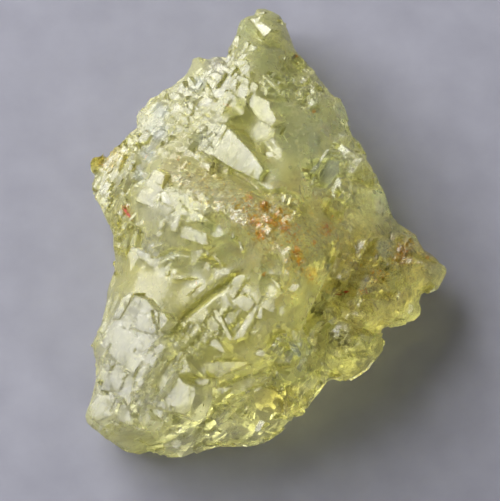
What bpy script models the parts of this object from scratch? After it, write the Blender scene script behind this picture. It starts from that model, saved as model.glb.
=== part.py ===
"""Heliodor (yellow-green beryl), one rough etched crystal lying on its broken underside.

The stone is drawn the way it is sketched at the bench: a silhouette, spot heights and the outlines of its
bright etch faces, all on one sheet seen SIGHT_TILT off the vertical. The sheet's x runs right and its y runs down.
The body is a closed shell: rings of the silhouette roll up to a crown of flat facets on the spot heights, and down
to the resting face. Every etch face is parallel to the same prism face
of the beryl lattice, so each one is a drafted column added to the shell and a drafted pocket cut from it.
Smaller growth blocks are six-sided prisms in the same lattice, seated along the rims.
Metres, +Z up, the origin under the middle of the box at the resting face.
"""

import math
import random

import bmesh
import bpy
import numpy as np
from mathutils import Matrix, Vector
from mathutils.geometry import delaunay_2d_cdt

# ---- driving dimensions -------------------------------------------------------------------------------------
MM = 0.001
SHEET_UNIT = 0.0833 * MM     # one drawing unit on the stone
SHEET_MIDDLE = (250.0, 250.5)  # drawing point the sight line goes through
SIGHT_TILT = math.radians(20)  # sight line, measured from the vertical, leaning to -Y
EYE_DISTANCE = 300 * MM
EYE_AIM = Vector((0, 0, 6 * MM))
RIM_ROLL = 2.4 * MM          # distance over which the top rolls into the rim
FOOT_ROLL = 4.5 * MM         # distance over which the underside rises to the rim
C_AXIS_TURN = math.radians(60)   # the beryl's long axis on the sheet, from x towards up
C_AXIS_LIFT = math.radians(6)    # and out of the sheet
ETCH_TURN = math.radians(25)     # the bright prism face, turned about the long axis towards the upper left
ETCH_PROUD = 0.12 * MM
POCKET_CLEAR = 0.03 * MM     # the pocket's floor stays this far above the column's top
ETCH_DRAFT = math.radians(30)
POCKET_DRAFT = math.radians(20)
RINGS_TOP = (0.965, 0.91)     # rings of the top roll, as shares of the silhouette
RINGS_FOOT = (0.95, 0.87, 0.78)
CROWN_INSET = 1.9 * MM       # spot heights nearer the rim than this only steer the roll
RING_CENTRE = (238.0, 252.0)
SMALLEST_FACE = 40           # etch faces under this area, in square drawing units, are left to the fine surface
BLOCK_COUNT = 40
BLOCK_SIZE = (0.6 * MM, 1.3 * MM)
BLOCK_PROUD = 0.32           # share of a block's size that stands out of the surface

# silhouette, clockwise from the tip: x, y in drawing units, height of the rim in mm
SILHOUETTE = (
    (256, 8, 6), (263.5, 7.2, 6), (272, 10, 6), (280.5, 14.5, 6.1), (285, 22, 6.2), (289, 30, 6.3), (292.6, 40, 6.4),
    (296, 49, 6.6), (301, 57.5, 6.8), (306.5, 63.7, 6.9), (314, 68, 7), (319, 76.5, 7.1), (323.5, 84.2, 7.2), (331, 92, 7.2),
    (339.5, 99, 7.2), (344.5, 110, 7.2), (348, 121, 7.1), (351, 130.5, 7), (356.5, 139.6, 6.8), (362, 148.2, 6.6), (367, 157.8, 6.4),
    (371.7, 167.3, 6.2), (376.5, 177.8, 6), (383.2, 187.4, 5.8), (387.2, 197, 5.6), (390, 206.5, 5.4), (393.8, 216.2, 5.2), (399.5, 222.8, 5),
    (410.3, 229.8, 4.8), (416.9, 234.1, 4.6), (420.1, 241.7, 4.4), (426.6, 251.4, 4.2), (434.2, 257.9, 4.1), (441.8, 264.5, 4), (447.2, 271, 3.9),
    (446.1, 277.5, 3.8), (441.8, 283, 3.7), (439.6, 287.2, 3.6), (430.9, 291.6, 3.5), (422.3, 294.8, 3.4), (420.1, 302.4, 3.3), (422.3, 308.9, 3.2),
    (421.2, 315.4, 3.1), (414.7, 321.9, 3), (403.8, 324.1, 3), (389.7, 326.8, 3), (383.2, 329.5, 3), (381.1, 336, 3), (384.3, 342.5, 2.9),
    (384.3, 350.1, 2.8), (380, 356.6, 2.7), (372.4, 362, 2.6), (368.1, 368.5, 2.5), (360.5, 374, 2.4), (351.8, 379.4, 2.4), (345.3, 382.6, 2.3),
    (339.9, 380.5, 2.3), (333.4, 378.3, 2.3), (327.9, 379.4, 2.3), (319.2, 391.1, 2.2), (313.5, 397.8, 2.1), (307.8, 405.5, 2), (304.9, 411.2, 1.9),
    (301.1, 415, 1.9), (293.4, 416, 1.8), (287.7, 423.7, 1.7), (281, 431.3, 1.6), (271.4, 438, 1.5), (261.8, 442.8, 1.5), (251.3, 445.2, 1.5),
    (237, 445.7, 1.5), (227.4, 445.7, 1.5), (217.8, 445.7, 1.5), (203.5, 449.5, 1.4), (193, 454.3, 1.4), (182.4, 458.2, 1.4), (168.1, 458.6, 1.5),
    (163.3, 455.8, 1.6), (155.7, 451.9, 1.7), (148, 452.9, 1.8), (139.4, 455.8, 1.9), (130.8, 453.8, 2), (122.2, 449, 2.2), (114.5, 444.3, 2.4),
    (105.9, 440.4, 2.6), (98.3, 433.8, 2.8), (91.6, 429, 3), (85.8, 423.2, 3.2), (83.9, 415.6, 3.4), (86.8, 407, 3.6), (92.5, 397.4, 3.8),
    (94.9, 387.8, 4), (97.3, 378.3, 4.1), (95.9, 364.5, 4.2), (92.8, 355, 4.3), (91, 344.5, 4.4), (93, 338.4, 4.4), (98.7, 328.9, 4.5),
    (101.6, 317.4, 4.6), (105.4, 301, 4.8), (105.9, 292.5, 4.8), (108.3, 283, 4.9), (113, 272.4, 5), (114, 262, 5), (114.5, 249.6, 5.1),
    (114, 235.2, 5.2), (110.2, 225.7, 5.2), (105.4, 216.1, 5.2), (100.6, 204.6, 5.2), (96.3, 198.9, 5.2), (93, 191.2, 5.3), (93, 181.7, 5.4),
    (95.4, 175, 5.4), (92, 170.2, 5.5), (91.3, 163, 5.5), (93.5, 158.6, 5.6), (101, 157.3, 5.7), (107.7, 151, 5.8), (115.4, 148.1, 5.9),
    (120.2, 145.5, 6), (125.9, 138.5, 6), (130.7, 133.8, 6), (138.2, 128, 6), (137.4, 120.4, 6), (138.6, 113.7, 6), (146, 105, 6),
    (150.8, 99.3, 6), (158.4, 96.4, 6), (164.2, 90.7, 6), (171.8, 87.8, 6), (177.6, 83, 6), (183.3, 77.3, 6), (186.4, 72, 6),
    (190, 64.9, 6), (191.5, 58.2, 6), (198.6, 55.6, 6), (205, 57.5, 6), (211, 58.6, 5.9), (217, 57.6, 5.9), (223.5, 57.6, 6),
    (226.5, 59.6, 6.1), (228.6, 54.5, 6.2), (229.4, 46, 6.2), (231.7, 40.5, 6.2), (235.3, 33.7, 6.2), (237.2, 25.5, 6.2), (240.2, 19.7, 6.1),
    (246.8, 15.5, 6), (253.5, 14, 6),
)

# spot heights of the upper surface: x, y in drawing units, height in mm
SPOT_HEIGHTS = (
    (150, 170, 11.6), (175, 185, 13.6), (205, 195, 15), (240, 210, 16.2), (270, 225, 16.8), (300, 240, 16.3), (320, 258, 15.3), (205, 160, 12.6),
    (235, 172, 13.2), (262, 195, 14.4), (235, 150, 13.6), (250, 110, 12.8), (245, 80, 12.3), (265, 60, 11.6), (262, 32, 9.8), (285, 60, 10.4),
    (300, 90, 11), (290, 130, 12.6), (290, 170, 13.6), (320, 130, 11.2), (335, 152, 10.6), (345, 190, 10.2), (330, 200, 11.6), (310, 212, 13.6),
    (365, 190, 8.6), (375, 215, 8.2), (200, 80, 8.6), (205, 110, 10.6), (180, 105, 9.8), (150, 120, 8.6), (165, 140, 10.4), (185, 140, 11.4),
    (130, 150, 9), (110, 170, 8.2), (125, 185, 10.2), (110, 200, 8.8), (140, 200, 11.8), (160, 220, 13.4), (185, 225, 14.2), (200, 250, 13.4),
    (175, 260, 12.6), (220, 250, 14), (245, 250, 14.8), (135, 240, 10.8), (125, 260, 9.6), (150, 280, 11.2), (180, 290, 12), (205, 290, 12.6),
    (120, 310, 10.2), (145, 320, 12), (110, 345, 9.4), (135, 350, 12), (165, 340, 12.4), (105, 380, 8.2), (130, 380, 11.2), (100, 410, 7.2),
    (115, 422, 7.6), (150, 400, 10.6), (180, 380, 11.6), (175, 410, 9.6), (140, 432, 5.8), (240, 300, 13.4), (262, 280, 14.6), (225, 330, 12.2),
    (250, 330, 12.8), (280, 310, 14.2), (300, 290, 15.2), (310, 270, 15.6), (290, 340, 12.2), (220, 362, 11), (260, 357, 11.4), (205, 390, 9.6),
    (240, 382, 9), (280, 372, 9), (300, 360, 9.6), (200, 425, 5.8), (240, 417, 6), (270, 402, 7), (300, 390, 6.6), (170, 440, 3.8),
    (335, 250, 12.6), (330, 290, 9.6), (322, 325, 8.4), (315, 350, 7.6), (350, 250, 11), (370, 240, 9.4), (390, 240, 7.8), (360, 280, 10),
    (400, 260, 7.8), (428, 270, 6.2), (400, 290, 7.4), (380, 300, 8.4), (345, 300, 10), (350, 330, 8.4), (370, 340, 6.8), (345, 360, 6.4),
    (335, 342, 7.8), (408, 310, 5.6),
)

# bright etch faces, each a convex outline in drawing units
ETCH_FACES = (
    [(254.4, 23.7), (261.3, 22.2), (272, 29.1), (265.9, 39.8)],
    [(232.2, 45.1), (237.6, 36), (240.3, 42.8), (238.7, 49)],
    [(238.4, 55.1), (246, 40.6), (249.8, 42.8), (242.2, 52.8)],
    [(246.8, 52.8), (251.4, 44), (257.1, 48.2), (254.4, 50.5)],
    [(220.5, 88), (233.8, 65.8), (236.4, 67.3), (223, 86)],
    [(233.8, 61.2), (239.9, 59.7), (248.3, 62.7), (246, 65.8), (238.4, 67.3)],
    [(224.6, 90.3), (233.8, 75), (236.4, 73.5), (228.4, 91.8)],
    [(235.3, 86.5), (243, 71.9), (248.3, 77.3), (249.8, 81.1), (245.2, 91.8), (236.8, 99.5)],
    [(249.8, 88), (253.7, 81.9), (257.5, 85.7), (256.7, 90.3), (252.1, 91.8)],
    [(247.4, 101.2), (252.2, 94), (269.4, 101.2), (270.8, 109.8), (275.1, 119.4), (271.3, 126.1), (264.6, 126.1), (257, 116.5)],
    [(212, 155.8), (228, 129), (243.6, 144.3), (263.7, 169.1), (257, 184.9), (232, 168.2)],
    [(211, 144.3), (222.5, 123.2), (227.3, 126.1), (214.9, 148.1)],
    [(210.6, 131.8), (213.9, 124.2), (219.7, 123.2), (213, 136.6)],
    [(204.4, 86.9), (209.1, 87.8), (214.4, 97.9), (212, 96.4)],
    [(264.6, 151), (274.2, 151.9), (271.3, 158.6), (266.5, 155.8)],
    [(137.4, 139.5), (143.1, 129.9), (151.3, 135.7), (142.2, 145.2)],
    [(126.9, 141.4), (128.8, 137.6), (134.5, 142.4), (129.7, 144.3)],
    [(119.2, 151.9), (123.5, 144.3), (126.9, 153.8), (123, 153.4)],
    [(134.5, 165.3), (146, 162.4), (141.2, 173.9)],
    [(168, 95.5), (171.8, 92.1), (177.6, 93.6), (181.4, 97.4), (177.6, 100.3), (170.9, 99.3)],
    [(173.8, 88.8), (184.3, 77.3), (188.1, 86.9), (182.4, 93.6)],
    [(105.4, 172), (107.7, 171.1), (111.6, 181.6), (109.7, 181.6)],
    [(134.1, 200.8), (153.2, 170.2), (159, 168.3), (167.1, 175), (163.3, 187.4), (156.1, 208.9)],
    [(163.3, 188.3), (176.2, 205.6), (173.3, 212.3), (157.1, 208.4)],
    [(156.1, 229.5), (165.7, 214.2), (171.4, 214.2), (162.8, 229.5)],
    [(169.5, 229.5), (176.2, 213.2), (182.4, 218), (174.3, 230.4)],
    [(184.8, 222.8), (194.4, 209.4), (210.2, 220.9)],
    [(178.6, 236.2), (184.3, 225.7), (205.8, 234.3), (207.8, 243.8), (197.2, 242.9)],
    [(189.6, 253.4), (203.9, 251.5), (199.1, 259.1), (190.5, 267.8)],
    [(134.1, 263), (143.7, 250.5), (161.8, 263.9), (163.8, 271.6), (150.4, 267.8)],
    [(112.1, 317.4), (129.3, 294.4), (137, 294.4), (127.4, 307.8), (123.6, 321.2)],
    [(127.4, 313.6), (138.9, 309), (149.4, 306.9), (154.2, 313.6), (161.8, 342.3), (137, 346.1), (123.6, 327)],
    [(98.7, 342.3), (106.4, 336.5), (123.6, 321.2), (137, 346.1), (127.4, 360.4), (121.7, 364.3)],
    [(101.6, 391.1), (115.9, 364.3), (126.4, 368.1), (129.3, 378.6), (119.7, 393.9)],
    [(152.3, 349), (160.9, 346.1), (154.2, 365.2), (138.9, 376.7), (136, 374.8), (140.8, 361.4)],
    [(132.2, 378.6), (141.8, 379.6), (127.4, 401.6), (123.6, 399.7)],
    [(161.8, 391.1), (183.8, 363.3), (187.7, 372.9), (195.3, 384.4), (193.4, 395.8), (188.6, 409.2), (168.5, 405.4)],
    [(190.5, 377.7), (195.3, 374.8), (208.7, 378.6), (207.8, 383.4), (203, 385.3), (196.3, 381.5)],
    [(156.1, 313.6), (165.7, 316.4), (168.5, 320.3), (159.9, 327)],
    [(209.7, 342.3), (213.5, 336.5), (217.3, 342.3), (225.9, 352.8), (223, 354.2)],
    [(227.8, 297.3), (246, 288.7), (251.7, 297.3), (261.3, 301.1), (259.4, 305.9), (247, 312.6)],
    [(239.3, 336.5), (232.6, 340.4), (247, 321.2), (254.6, 311.7), (261.3, 304), (264.2, 313.6), (247, 326)],
    [(205.8, 314.5), (212.5, 309.7), (216.4, 317.4), (231.7, 340.4), (225.9, 338.4)],
    [(227.8, 293.5), (234.5, 278.2), (238.4, 274.3), (247, 274.3), (247.9, 282), (237.4, 291.6)],
    [(254.6, 352.8), (261.3, 349), (266.1, 351.8), (262.3, 355.7)],
    [(294.8, 367.1), (298.6, 358.5), (300.5, 359.5), (297.7, 367.1)],
    [(116.4, 412.7), (126, 401.2), (135.6, 416.5), (134.6, 425.1), (128.9, 426.1)],
    [(87.7, 407), (102.1, 392.6), (110.7, 395.5), (107.8, 407), (95.4, 422.3), (88.7, 414.6)],
    [(149, 407.9), (157.6, 405), (164.3, 410.8), (161.4, 416.5), (153.8, 414.6)],
    [(147, 402.2), (159.5, 389.7), (161.4, 393.6), (149.9, 404.1)],
    [(212.1, 412.2), (223.6, 406.4), (224.5, 411.2), (215.9, 417.9)],
    [(238.9, 411.2), (249.4, 405.5), (255.1, 411.2), (251.3, 418.9), (240.8, 417)],
    [(281.4, 201.7), (286.2, 195), (286.2, 200.7)],
    [(237.4, 239), (240.3, 239), (245, 249.5), (242.2, 251.4)],
    [(268, 231.3), (271.8, 226.5), (274.7, 233.2)],
)

# ---- sight frame and lattice --------------------------------------------------------------------------------
RIGHT = Vector((1, 0, 0))
OUT = Vector((0, -math.sin(SIGHT_TILT), math.cos(SIGHT_TILT)))
UP = Vector((0, math.cos(SIGHT_TILT), math.sin(SIGHT_TILT)))
EYE = EYE_AIM + OUT * EYE_DISTANCE

C_FLAT = math.cos(C_AXIS_TURN) * RIGHT + math.sin(C_AXIS_TURN) * UP
C_AXIS = (math.cos(C_AXIS_LIFT) * C_FLAT + math.sin(C_AXIS_LIFT) * OUT).normalized()
ACROSS_OUT = (OUT - OUT.dot(C_AXIS) * C_AXIS).normalized()
ACROSS = C_AXIS.cross(ACROSS_OUT)
if ACROSS.dot(RIGHT) < 0:
    ACROSS.negate()


def prism_normal(turn):
    """Normal of a face parallel to the long axis, turned from straight out towards the upper left."""
    return math.cos(turn) * ACROSS_OUT - math.sin(turn) * ACROSS


ETCH_NORMAL = prism_normal(ETCH_TURN)
HEX_NORMALS = [prism_normal(ETCH_TURN + math.radians(60) * k) for k in range(3)]


def sight_ray(x, y):
    return -OUT * EYE_DISTANCE + RIGHT * (x - SHEET_MIDDLE[0]) * SHEET_UNIT + UP * (SHEET_MIDDLE[1] - y) * SHEET_UNIT


def at_height(x, y, z):
    ray = sight_ray(x, y)
    return EYE + ray * ((z - EYE.z) / ray.z)


def on_plane(x, y, point, normal):
    ray = sight_ray(x, y)
    return EYE + ray * ((point - EYE).dot(normal) / ray.dot(normal))


# ---- heights ------------------------------------------------------------------------------------------------
def bend(r2):
    """Thin-plate kernel r^2 log r^2."""
    return np.where(r2 > 0, r2 * np.log(r2 + 1e-12), 0.0)


def plate_through(spots):
    """Thin plate laid through the spot heights; returns a function of drawing x, y giving metres."""
    pts = np.array([(x, y) for x, y, _ in spots]) / 50
    z = np.array([h for _, _, h in spots]) * MM
    n = len(pts)
    k = bend(((pts[:, None] - pts[None]) ** 2).sum(2)) + np.eye(n) * 0.002
    p = np.c_[np.ones(n), pts]
    m = np.zeros((n + 3, n + 3))
    m[:n, :n], m[:n, n:], m[n:, :n] = k, p, p.T
    w = np.linalg.solve(m, np.r_[z, 0, 0, 0])

    def height(x, y):
        q = np.array((x, y)) / 50
        return float(w[n] + w[n + 1] * q[0] + w[n + 2] * q[1] + w[:n] @ bend(((pts - q) ** 2).sum(1)))

    return height


PLATE = plate_through(SPOT_HEIGHTS)
RIM = np.array(SILHOUETTE)
RIM_NEXT = np.roll(RIM, -1, axis=0)


def rim_near(x, y):
    """Distance in metres to the silhouette, and the rim height there."""
    a, b = RIM[:, :2], RIM_NEXT[:, :2]
    d = b - a
    t = np.clip((((x, y) - a) * d).sum(1) / (d**2).sum(1), 0, 1)
    r2 = ((a + d * t[:, None] - (x, y)) ** 2).sum(1)
    w = np.sqrt((d**2).sum(1)) / (r2 + 9) ** 2
    h = RIM[:, 2] + t * (RIM_NEXT[:, 2] - RIM[:, 2])
    return math.sqrt(r2.min()) * SHEET_UNIT, float((w * h).sum() / w.sum()) * MM


def roll(distance, width):
    t = min(1.0, distance / width)
    return math.sqrt(max(0.0, 1 - (1 - t) ** 2))


def top_height(x, y):
    d, rim = rim_near(x, y)
    return rim + (PLATE(x, y) - rim) * roll(d, RIM_ROLL)


def foot_height(x, y):
    d, rim = rim_near(x, y)
    return rim * (1 - roll(d, FOOT_ROLL))


# ---- body: a triangulated crown on the spot heights, and a rolled foot ----------------------------------------
def ring_sheet(share):
    cx, cy = RING_CENTRE
    return [(cx + (x - cx) * share, cy + (y - cy) * share) for x, y, _ in SILHOUETTE]


def bridge(bm, outer, inner):
    n = len(outer)
    for i in range(n):
        j = (i + 1) % n
        bm.faces.new((outer[i], outer[j], inner[j], inner[i]))


def body_mesh():
    bm = bmesh.new()
    rim = [bm.verts.new(at_height(x, y, h * MM)) for x, y, h in SILHOUETTE]
    outer = rim
    for share in RINGS_TOP:
        inner = [bm.verts.new(at_height(x, y, top_height(x, y))) for x, y in ring_sheet(share)]
        bridge(bm, outer, inner)
        outer = inner
    # the crown inside the last ring: every spot height that lies well inside it is a corner of flat facets
    edge = ring_sheet(RINGS_TOP[-1])
    count = len(edge)
    spots = [(x, y) for x, y, _ in SPOT_HEIGHTS if rim_near(x, y)[0] > CROWN_INSET]
    sheet = [Vector(p) for p in edge + spots]
    loop = [(i, (i + 1) % count) for i in range(count)]
    cut, _, triangles, origin, _, _ = delaunay_2d_cdt(sheet, loop, [], 1, 1e-6)
    crown = []
    for point, source in zip(cut, origin):
        first = source[0]
        crown.append(outer[first] if first < count else bm.verts.new(at_height(point.x, point.y, top_height(point.x, point.y))))
    for t in triangles:
        bm.faces.new([crown[i] for i in t])
    outer = rim
    for share in RINGS_FOOT:
        inner = [bm.verts.new(at_height(x, y, foot_height(x, y))) for x, y in ring_sheet(share)]
        bridge(bm, inner, outer)
        outer = inner
    for v in outer:
        v.co.z = 0.0
    bm.faces.new(list(reversed(outer)))
    bmesh.ops.triangulate(bm, faces=bm.faces[:])
    bmesh.ops.recalc_face_normals(bm, faces=bm.faces[:])
    return bm


# ---- convex pieces from planes --------------------------------------------------------------------------------
def solid_from_planes(name, planes, collection):
    """Closed convex solid bounded by (normal, point) planes, as an object."""
    bm = bmesh.new()
    points = []
    for i in range(len(planes)):
        for j in range(i + 1, len(planes)):
            for k in range(j + 1, len(planes)):
                m = Matrix((planes[i][0], planes[j][0], planes[k][0]))
                if abs(m.determinant()) < 1e-5:
                    continue
                p = m.inverted() @ Vector([planes[t][0].dot(planes[t][1]) for t in (i, j, k)])
                if all(n.dot(p - o) < 1e-8 for n, o in planes):
                    points.append(p)
    for p in points:
        bm.verts.new(p)
    bmesh.ops.remove_doubles(bm, verts=bm.verts[:], dist=2e-6)
    hull = bmesh.ops.convex_hull(bm, input=bm.verts[:])
    loose = [v for v in bm.verts if not v.link_faces]
    bmesh.ops.delete(bm, geom=loose, context="VERTS")
    bmesh.ops.dissolve_limit(bm, angle_limit=math.radians(0.2), verts=bm.verts[:], edges=bm.edges[:])
    bmesh.ops.recalc_face_normals(bm, faces=bm.faces[:])
    mesh = bpy.data.meshes.new(name)
    bm.to_mesh(mesh)
    bm.free()
    made = bpy.data.objects.new(name, mesh)
    made.hide_render = True
    made.display_type = "WIRE"
    collection.objects.link(made)
    return made


def sheet_area(outline):
    return abs(sum(a[0] * b[1] - b[0] * a[1] for a, b in zip(outline, outline[1:] + outline[:1]))) / 2


def etch_face(index, outline, columns, pockets):
    x = sum(p[0] for p in outline) / len(outline)
    y = sum(p[1] for p in outline) / len(outline)
    seat = at_height(x, y, top_height(x, y) + ETCH_PROUD)
    corners = [on_plane(u, v, seat, ETCH_NORMAL) for u, v in outline]
    middle = sum(corners, Vector()) / len(corners)
    size = max((c - middle).length for c in corners)
    sides = []
    for a, b in zip(corners, corners[1:] + corners[:1]):
        side = (b - a).normalized().cross(ETCH_NORMAL)
        if side.dot(middle - a) > 0:
            side.negate()
        sides.append((side, a))
    column = [(math.cos(ETCH_DRAFT) * s + math.sin(ETCH_DRAFT) * ETCH_NORMAL, a) for s, a in sides]
    column += [(ETCH_NORMAL, seat), (-ETCH_NORMAL, seat - ETCH_NORMAL * min(2.5 * MM, 0.6 * MM + size))]
    solid_from_planes(f"etch_column_{index:02d}", column, columns)
    pocket = [(math.cos(POCKET_DRAFT) * s - math.sin(POCKET_DRAFT) * ETCH_NORMAL, a) for s, a in sides]
    pocket += [
        (-ETCH_NORMAL, seat + ETCH_NORMAL * POCKET_CLEAR),
        (ETCH_NORMAL, seat + ETCH_NORMAL * (1.2 * MM + 0.6 * size)),
    ]
    solid_from_planes(f"etch_pocket_{index:02d}", pocket, pockets)


def surface_normal(x, y):
    step = 6
    across = at_height(x + step, y, top_height(x + step, y)) - at_height(x - step, y, top_height(x - step, y))
    along = at_height(x, y - step, top_height(x, y - step)) - at_height(x, y + step, top_height(x, y + step))
    return across.cross(along).normalized()


def growth_block(index, chance, collection):
    """A six-sided lattice prism seated in the upper surface, standing a little proud of it."""
    turn = chance.uniform(0, 2 * math.pi)
    share = chance.uniform(0.30, 0.86)
    i = chance.randrange(len(SILHOUETTE))
    x = RING_CENTRE[0] + (SILHOUETTE[i][0] - RING_CENTRE[0]) * share
    y = RING_CENTRE[1] + (SILHOUETTE[i][1] - RING_CENTRE[1]) * share
    size = chance.uniform(*BLOCK_SIZE)
    lean = Matrix.Rotation(math.radians(4) * math.cos(turn), 3, "X") @ Matrix.Rotation(math.radians(4) * math.sin(turn), 3, "Y")
    sides = [(lean @ normal, size * chance.uniform(0.7, 1.1)) for normal in HEX_NORMALS]
    sides.append((lean @ C_AXIS, size * chance.uniform(0.9, 1.8)))
    facing = surface_normal(x, y)
    reach = min(half / abs(n.dot(facing)) for n, half in sides if abs(n.dot(facing)) > 1e-3)
    seat = at_height(x, y, top_height(x, y)) - facing * (reach - BLOCK_PROUD * size)
    planes = []
    for n, half in sides:
        planes += [(n, seat + n * half), (-n, seat - n * half)]
    solid_from_planes(f"growth_block_{index:02d}", planes, collection)


# ---- build ----------------------------------------------------------------------------------------------------
def clear():
    for old in list(bpy.data.objects):
        bpy.data.objects.remove(old, do_unlink=True)


def beryl_material():
    material = bpy.data.materials.new("beryl_yellow_green")
    material.use_nodes = True
    shader = material.node_tree.nodes["Principled BSDF"]
    shader.inputs["Base Color"].default_value = (0.60, 0.58, 0.25, 1)
    shader.inputs["Roughness"].default_value = 0.15
    shader.inputs["Metallic"].default_value = 0.0
    shader.inputs["Transmission Weight"].default_value = 0.9
    shader.inputs["IOR"].default_value = 1.57
    return material


def join(target, collection, operation, solver):
    """One Boolean for each piece of the collection, in the order of their names."""
    for piece in sorted(collection.objects, key=lambda o: o.name):
        step = target.modifiers.new(piece.name, "BOOLEAN")
        step.object = piece
        step.operation = operation
        step.solver = solver


def baked(target):
    """The object's evaluated mesh as a new mesh, keeping the largest closed body."""
    graph = bpy.context.evaluated_depsgraph_get()
    mesh = bpy.data.meshes.new_from_object(target.evaluated_get(graph))
    bm = bmesh.new()
    bm.from_mesh(mesh)
    left, groups = set(bm.faces), []
    while left:
        first = left.pop()
        group, edge = [first], [first]
        while edge:
            face = edge.pop()
            for e in face.edges:
                for other in e.link_faces:
                    if other in left:
                        left.discard(other)
                        group.append(other)
                        edge.append(other)
        groups.append(group)
    groups.sort(key=len)
    for group in groups[:-1]:
        bmesh.ops.delete(bm, geom=group, context="FACES")
    bmesh.ops.delete(bm, geom=[v for v in bm.verts if not v.link_faces], context="VERTS")
    bm.to_mesh(mesh)
    bm.free()
    return mesh


def main():
    clear()
    scene = bpy.context.scene
    columns = bpy.data.collections.new("etch_columns")
    pockets = bpy.data.collections.new("etch_pockets")
    blocks = bpy.data.collections.new("growth_blocks")
    for group in (columns, pockets, blocks):
        scene.collection.children.link(group)

    mesh = bpy.data.meshes.new("heliodor_crystal")
    bm = body_mesh()
    bm.to_mesh(mesh)
    bm.free()
    crystal = bpy.data.objects.new("heliodor_crystal", mesh)
    scene.collection.objects.link(crystal)

    chance = random.Random(11)
    for index in range(BLOCK_COUNT):
        growth_block(index, chance, blocks)
    for index, outline in enumerate(o for o in ETCH_FACES if sheet_area(o) > SMALLEST_FACE):
        etch_face(index, outline, columns, pockets)

    join(crystal, blocks, "UNION", "EXACT")
    join(crystal, columns, "UNION", "EXACT")
    join(crystal, pockets, "DIFFERENCE", "EXACT")
    whole = baked(crystal)
    crystal.modifiers.clear()
    crystal.data = whole
    for group in (columns, pockets, blocks):
        for helper in list(group.objects):
            bpy.data.objects.remove(helper, do_unlink=True)
        bpy.data.collections.remove(group)

    low = Vector([min(v.co[i] for v in whole.vertices) for i in range(3)])
    high = Vector([max(v.co[i] for v in whole.vertices) for i in range(3)])
    whole.transform(Matrix.Translation((-(low.x + high.x) / 2, -(low.y + high.y) / 2, -low.z)))
    whole.materials.clear()
    whole.materials.append(beryl_material())
    whole.shade_flat()
    whole.name = "heliodor_crystal"


main()
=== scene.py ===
"""Heliodor crystal: the fine etched surface, what is sealed in the stone, and a plain studio around it.

The stone is worked out on one drawing sheet seen along the camera's sight line (x right, y down, the same sheet and
scale as the part's own source), then as a distance field in millimetres that lattice blocks, etch faces and
conchoidal scoops are added to and cut from. Dual contouring turns the field into the mesh.
"""
import math
import time

import bpy
import numpy as np
from mathutils import Matrix, Vector
from mathutils.bvhtree import BVHTree


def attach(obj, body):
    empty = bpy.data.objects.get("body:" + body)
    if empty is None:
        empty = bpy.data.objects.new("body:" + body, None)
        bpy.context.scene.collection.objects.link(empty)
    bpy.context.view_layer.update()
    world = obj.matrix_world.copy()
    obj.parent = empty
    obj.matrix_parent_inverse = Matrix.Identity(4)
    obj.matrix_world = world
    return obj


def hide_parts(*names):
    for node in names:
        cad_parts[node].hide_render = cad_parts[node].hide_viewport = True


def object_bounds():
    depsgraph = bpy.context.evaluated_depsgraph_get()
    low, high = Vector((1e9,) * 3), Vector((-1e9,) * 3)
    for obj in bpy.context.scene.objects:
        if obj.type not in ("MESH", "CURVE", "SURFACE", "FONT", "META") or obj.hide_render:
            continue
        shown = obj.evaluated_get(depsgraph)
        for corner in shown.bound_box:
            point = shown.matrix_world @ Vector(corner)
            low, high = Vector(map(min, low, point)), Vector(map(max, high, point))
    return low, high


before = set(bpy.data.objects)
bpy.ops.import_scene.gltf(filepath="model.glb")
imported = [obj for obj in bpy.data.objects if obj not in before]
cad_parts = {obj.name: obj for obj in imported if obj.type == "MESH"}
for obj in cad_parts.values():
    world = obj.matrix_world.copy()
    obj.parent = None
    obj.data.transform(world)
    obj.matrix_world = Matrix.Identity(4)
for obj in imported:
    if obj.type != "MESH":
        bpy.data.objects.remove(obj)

CAD_BOX = [[float(c) for c in corner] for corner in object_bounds()]
MM = 0.001

# ---- drawing sheet and sight line (mm) ----------------------------------------------------------------------
UNIT = 0.0833
TILT = math.radians(20)
EYE_DIST = 300.0
SHIFT = np.array([-1.390171, -2.890445, 0.0])   # the sheet's origin seen from the part's origin
RIGHT = np.array([1.0, 0.0, 0.0])
OUT = np.array([0.0, -math.sin(TILT), math.cos(TILT)])
UP = np.array([0.0, math.cos(TILT), math.sin(TILT)])
EYE = np.array([0.0, 0.0, 6.0]) + OUT * EYE_DIST

GRID = 0.13       # mm between samples of the field
MOST_TRIANGLES = 196000

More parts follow.
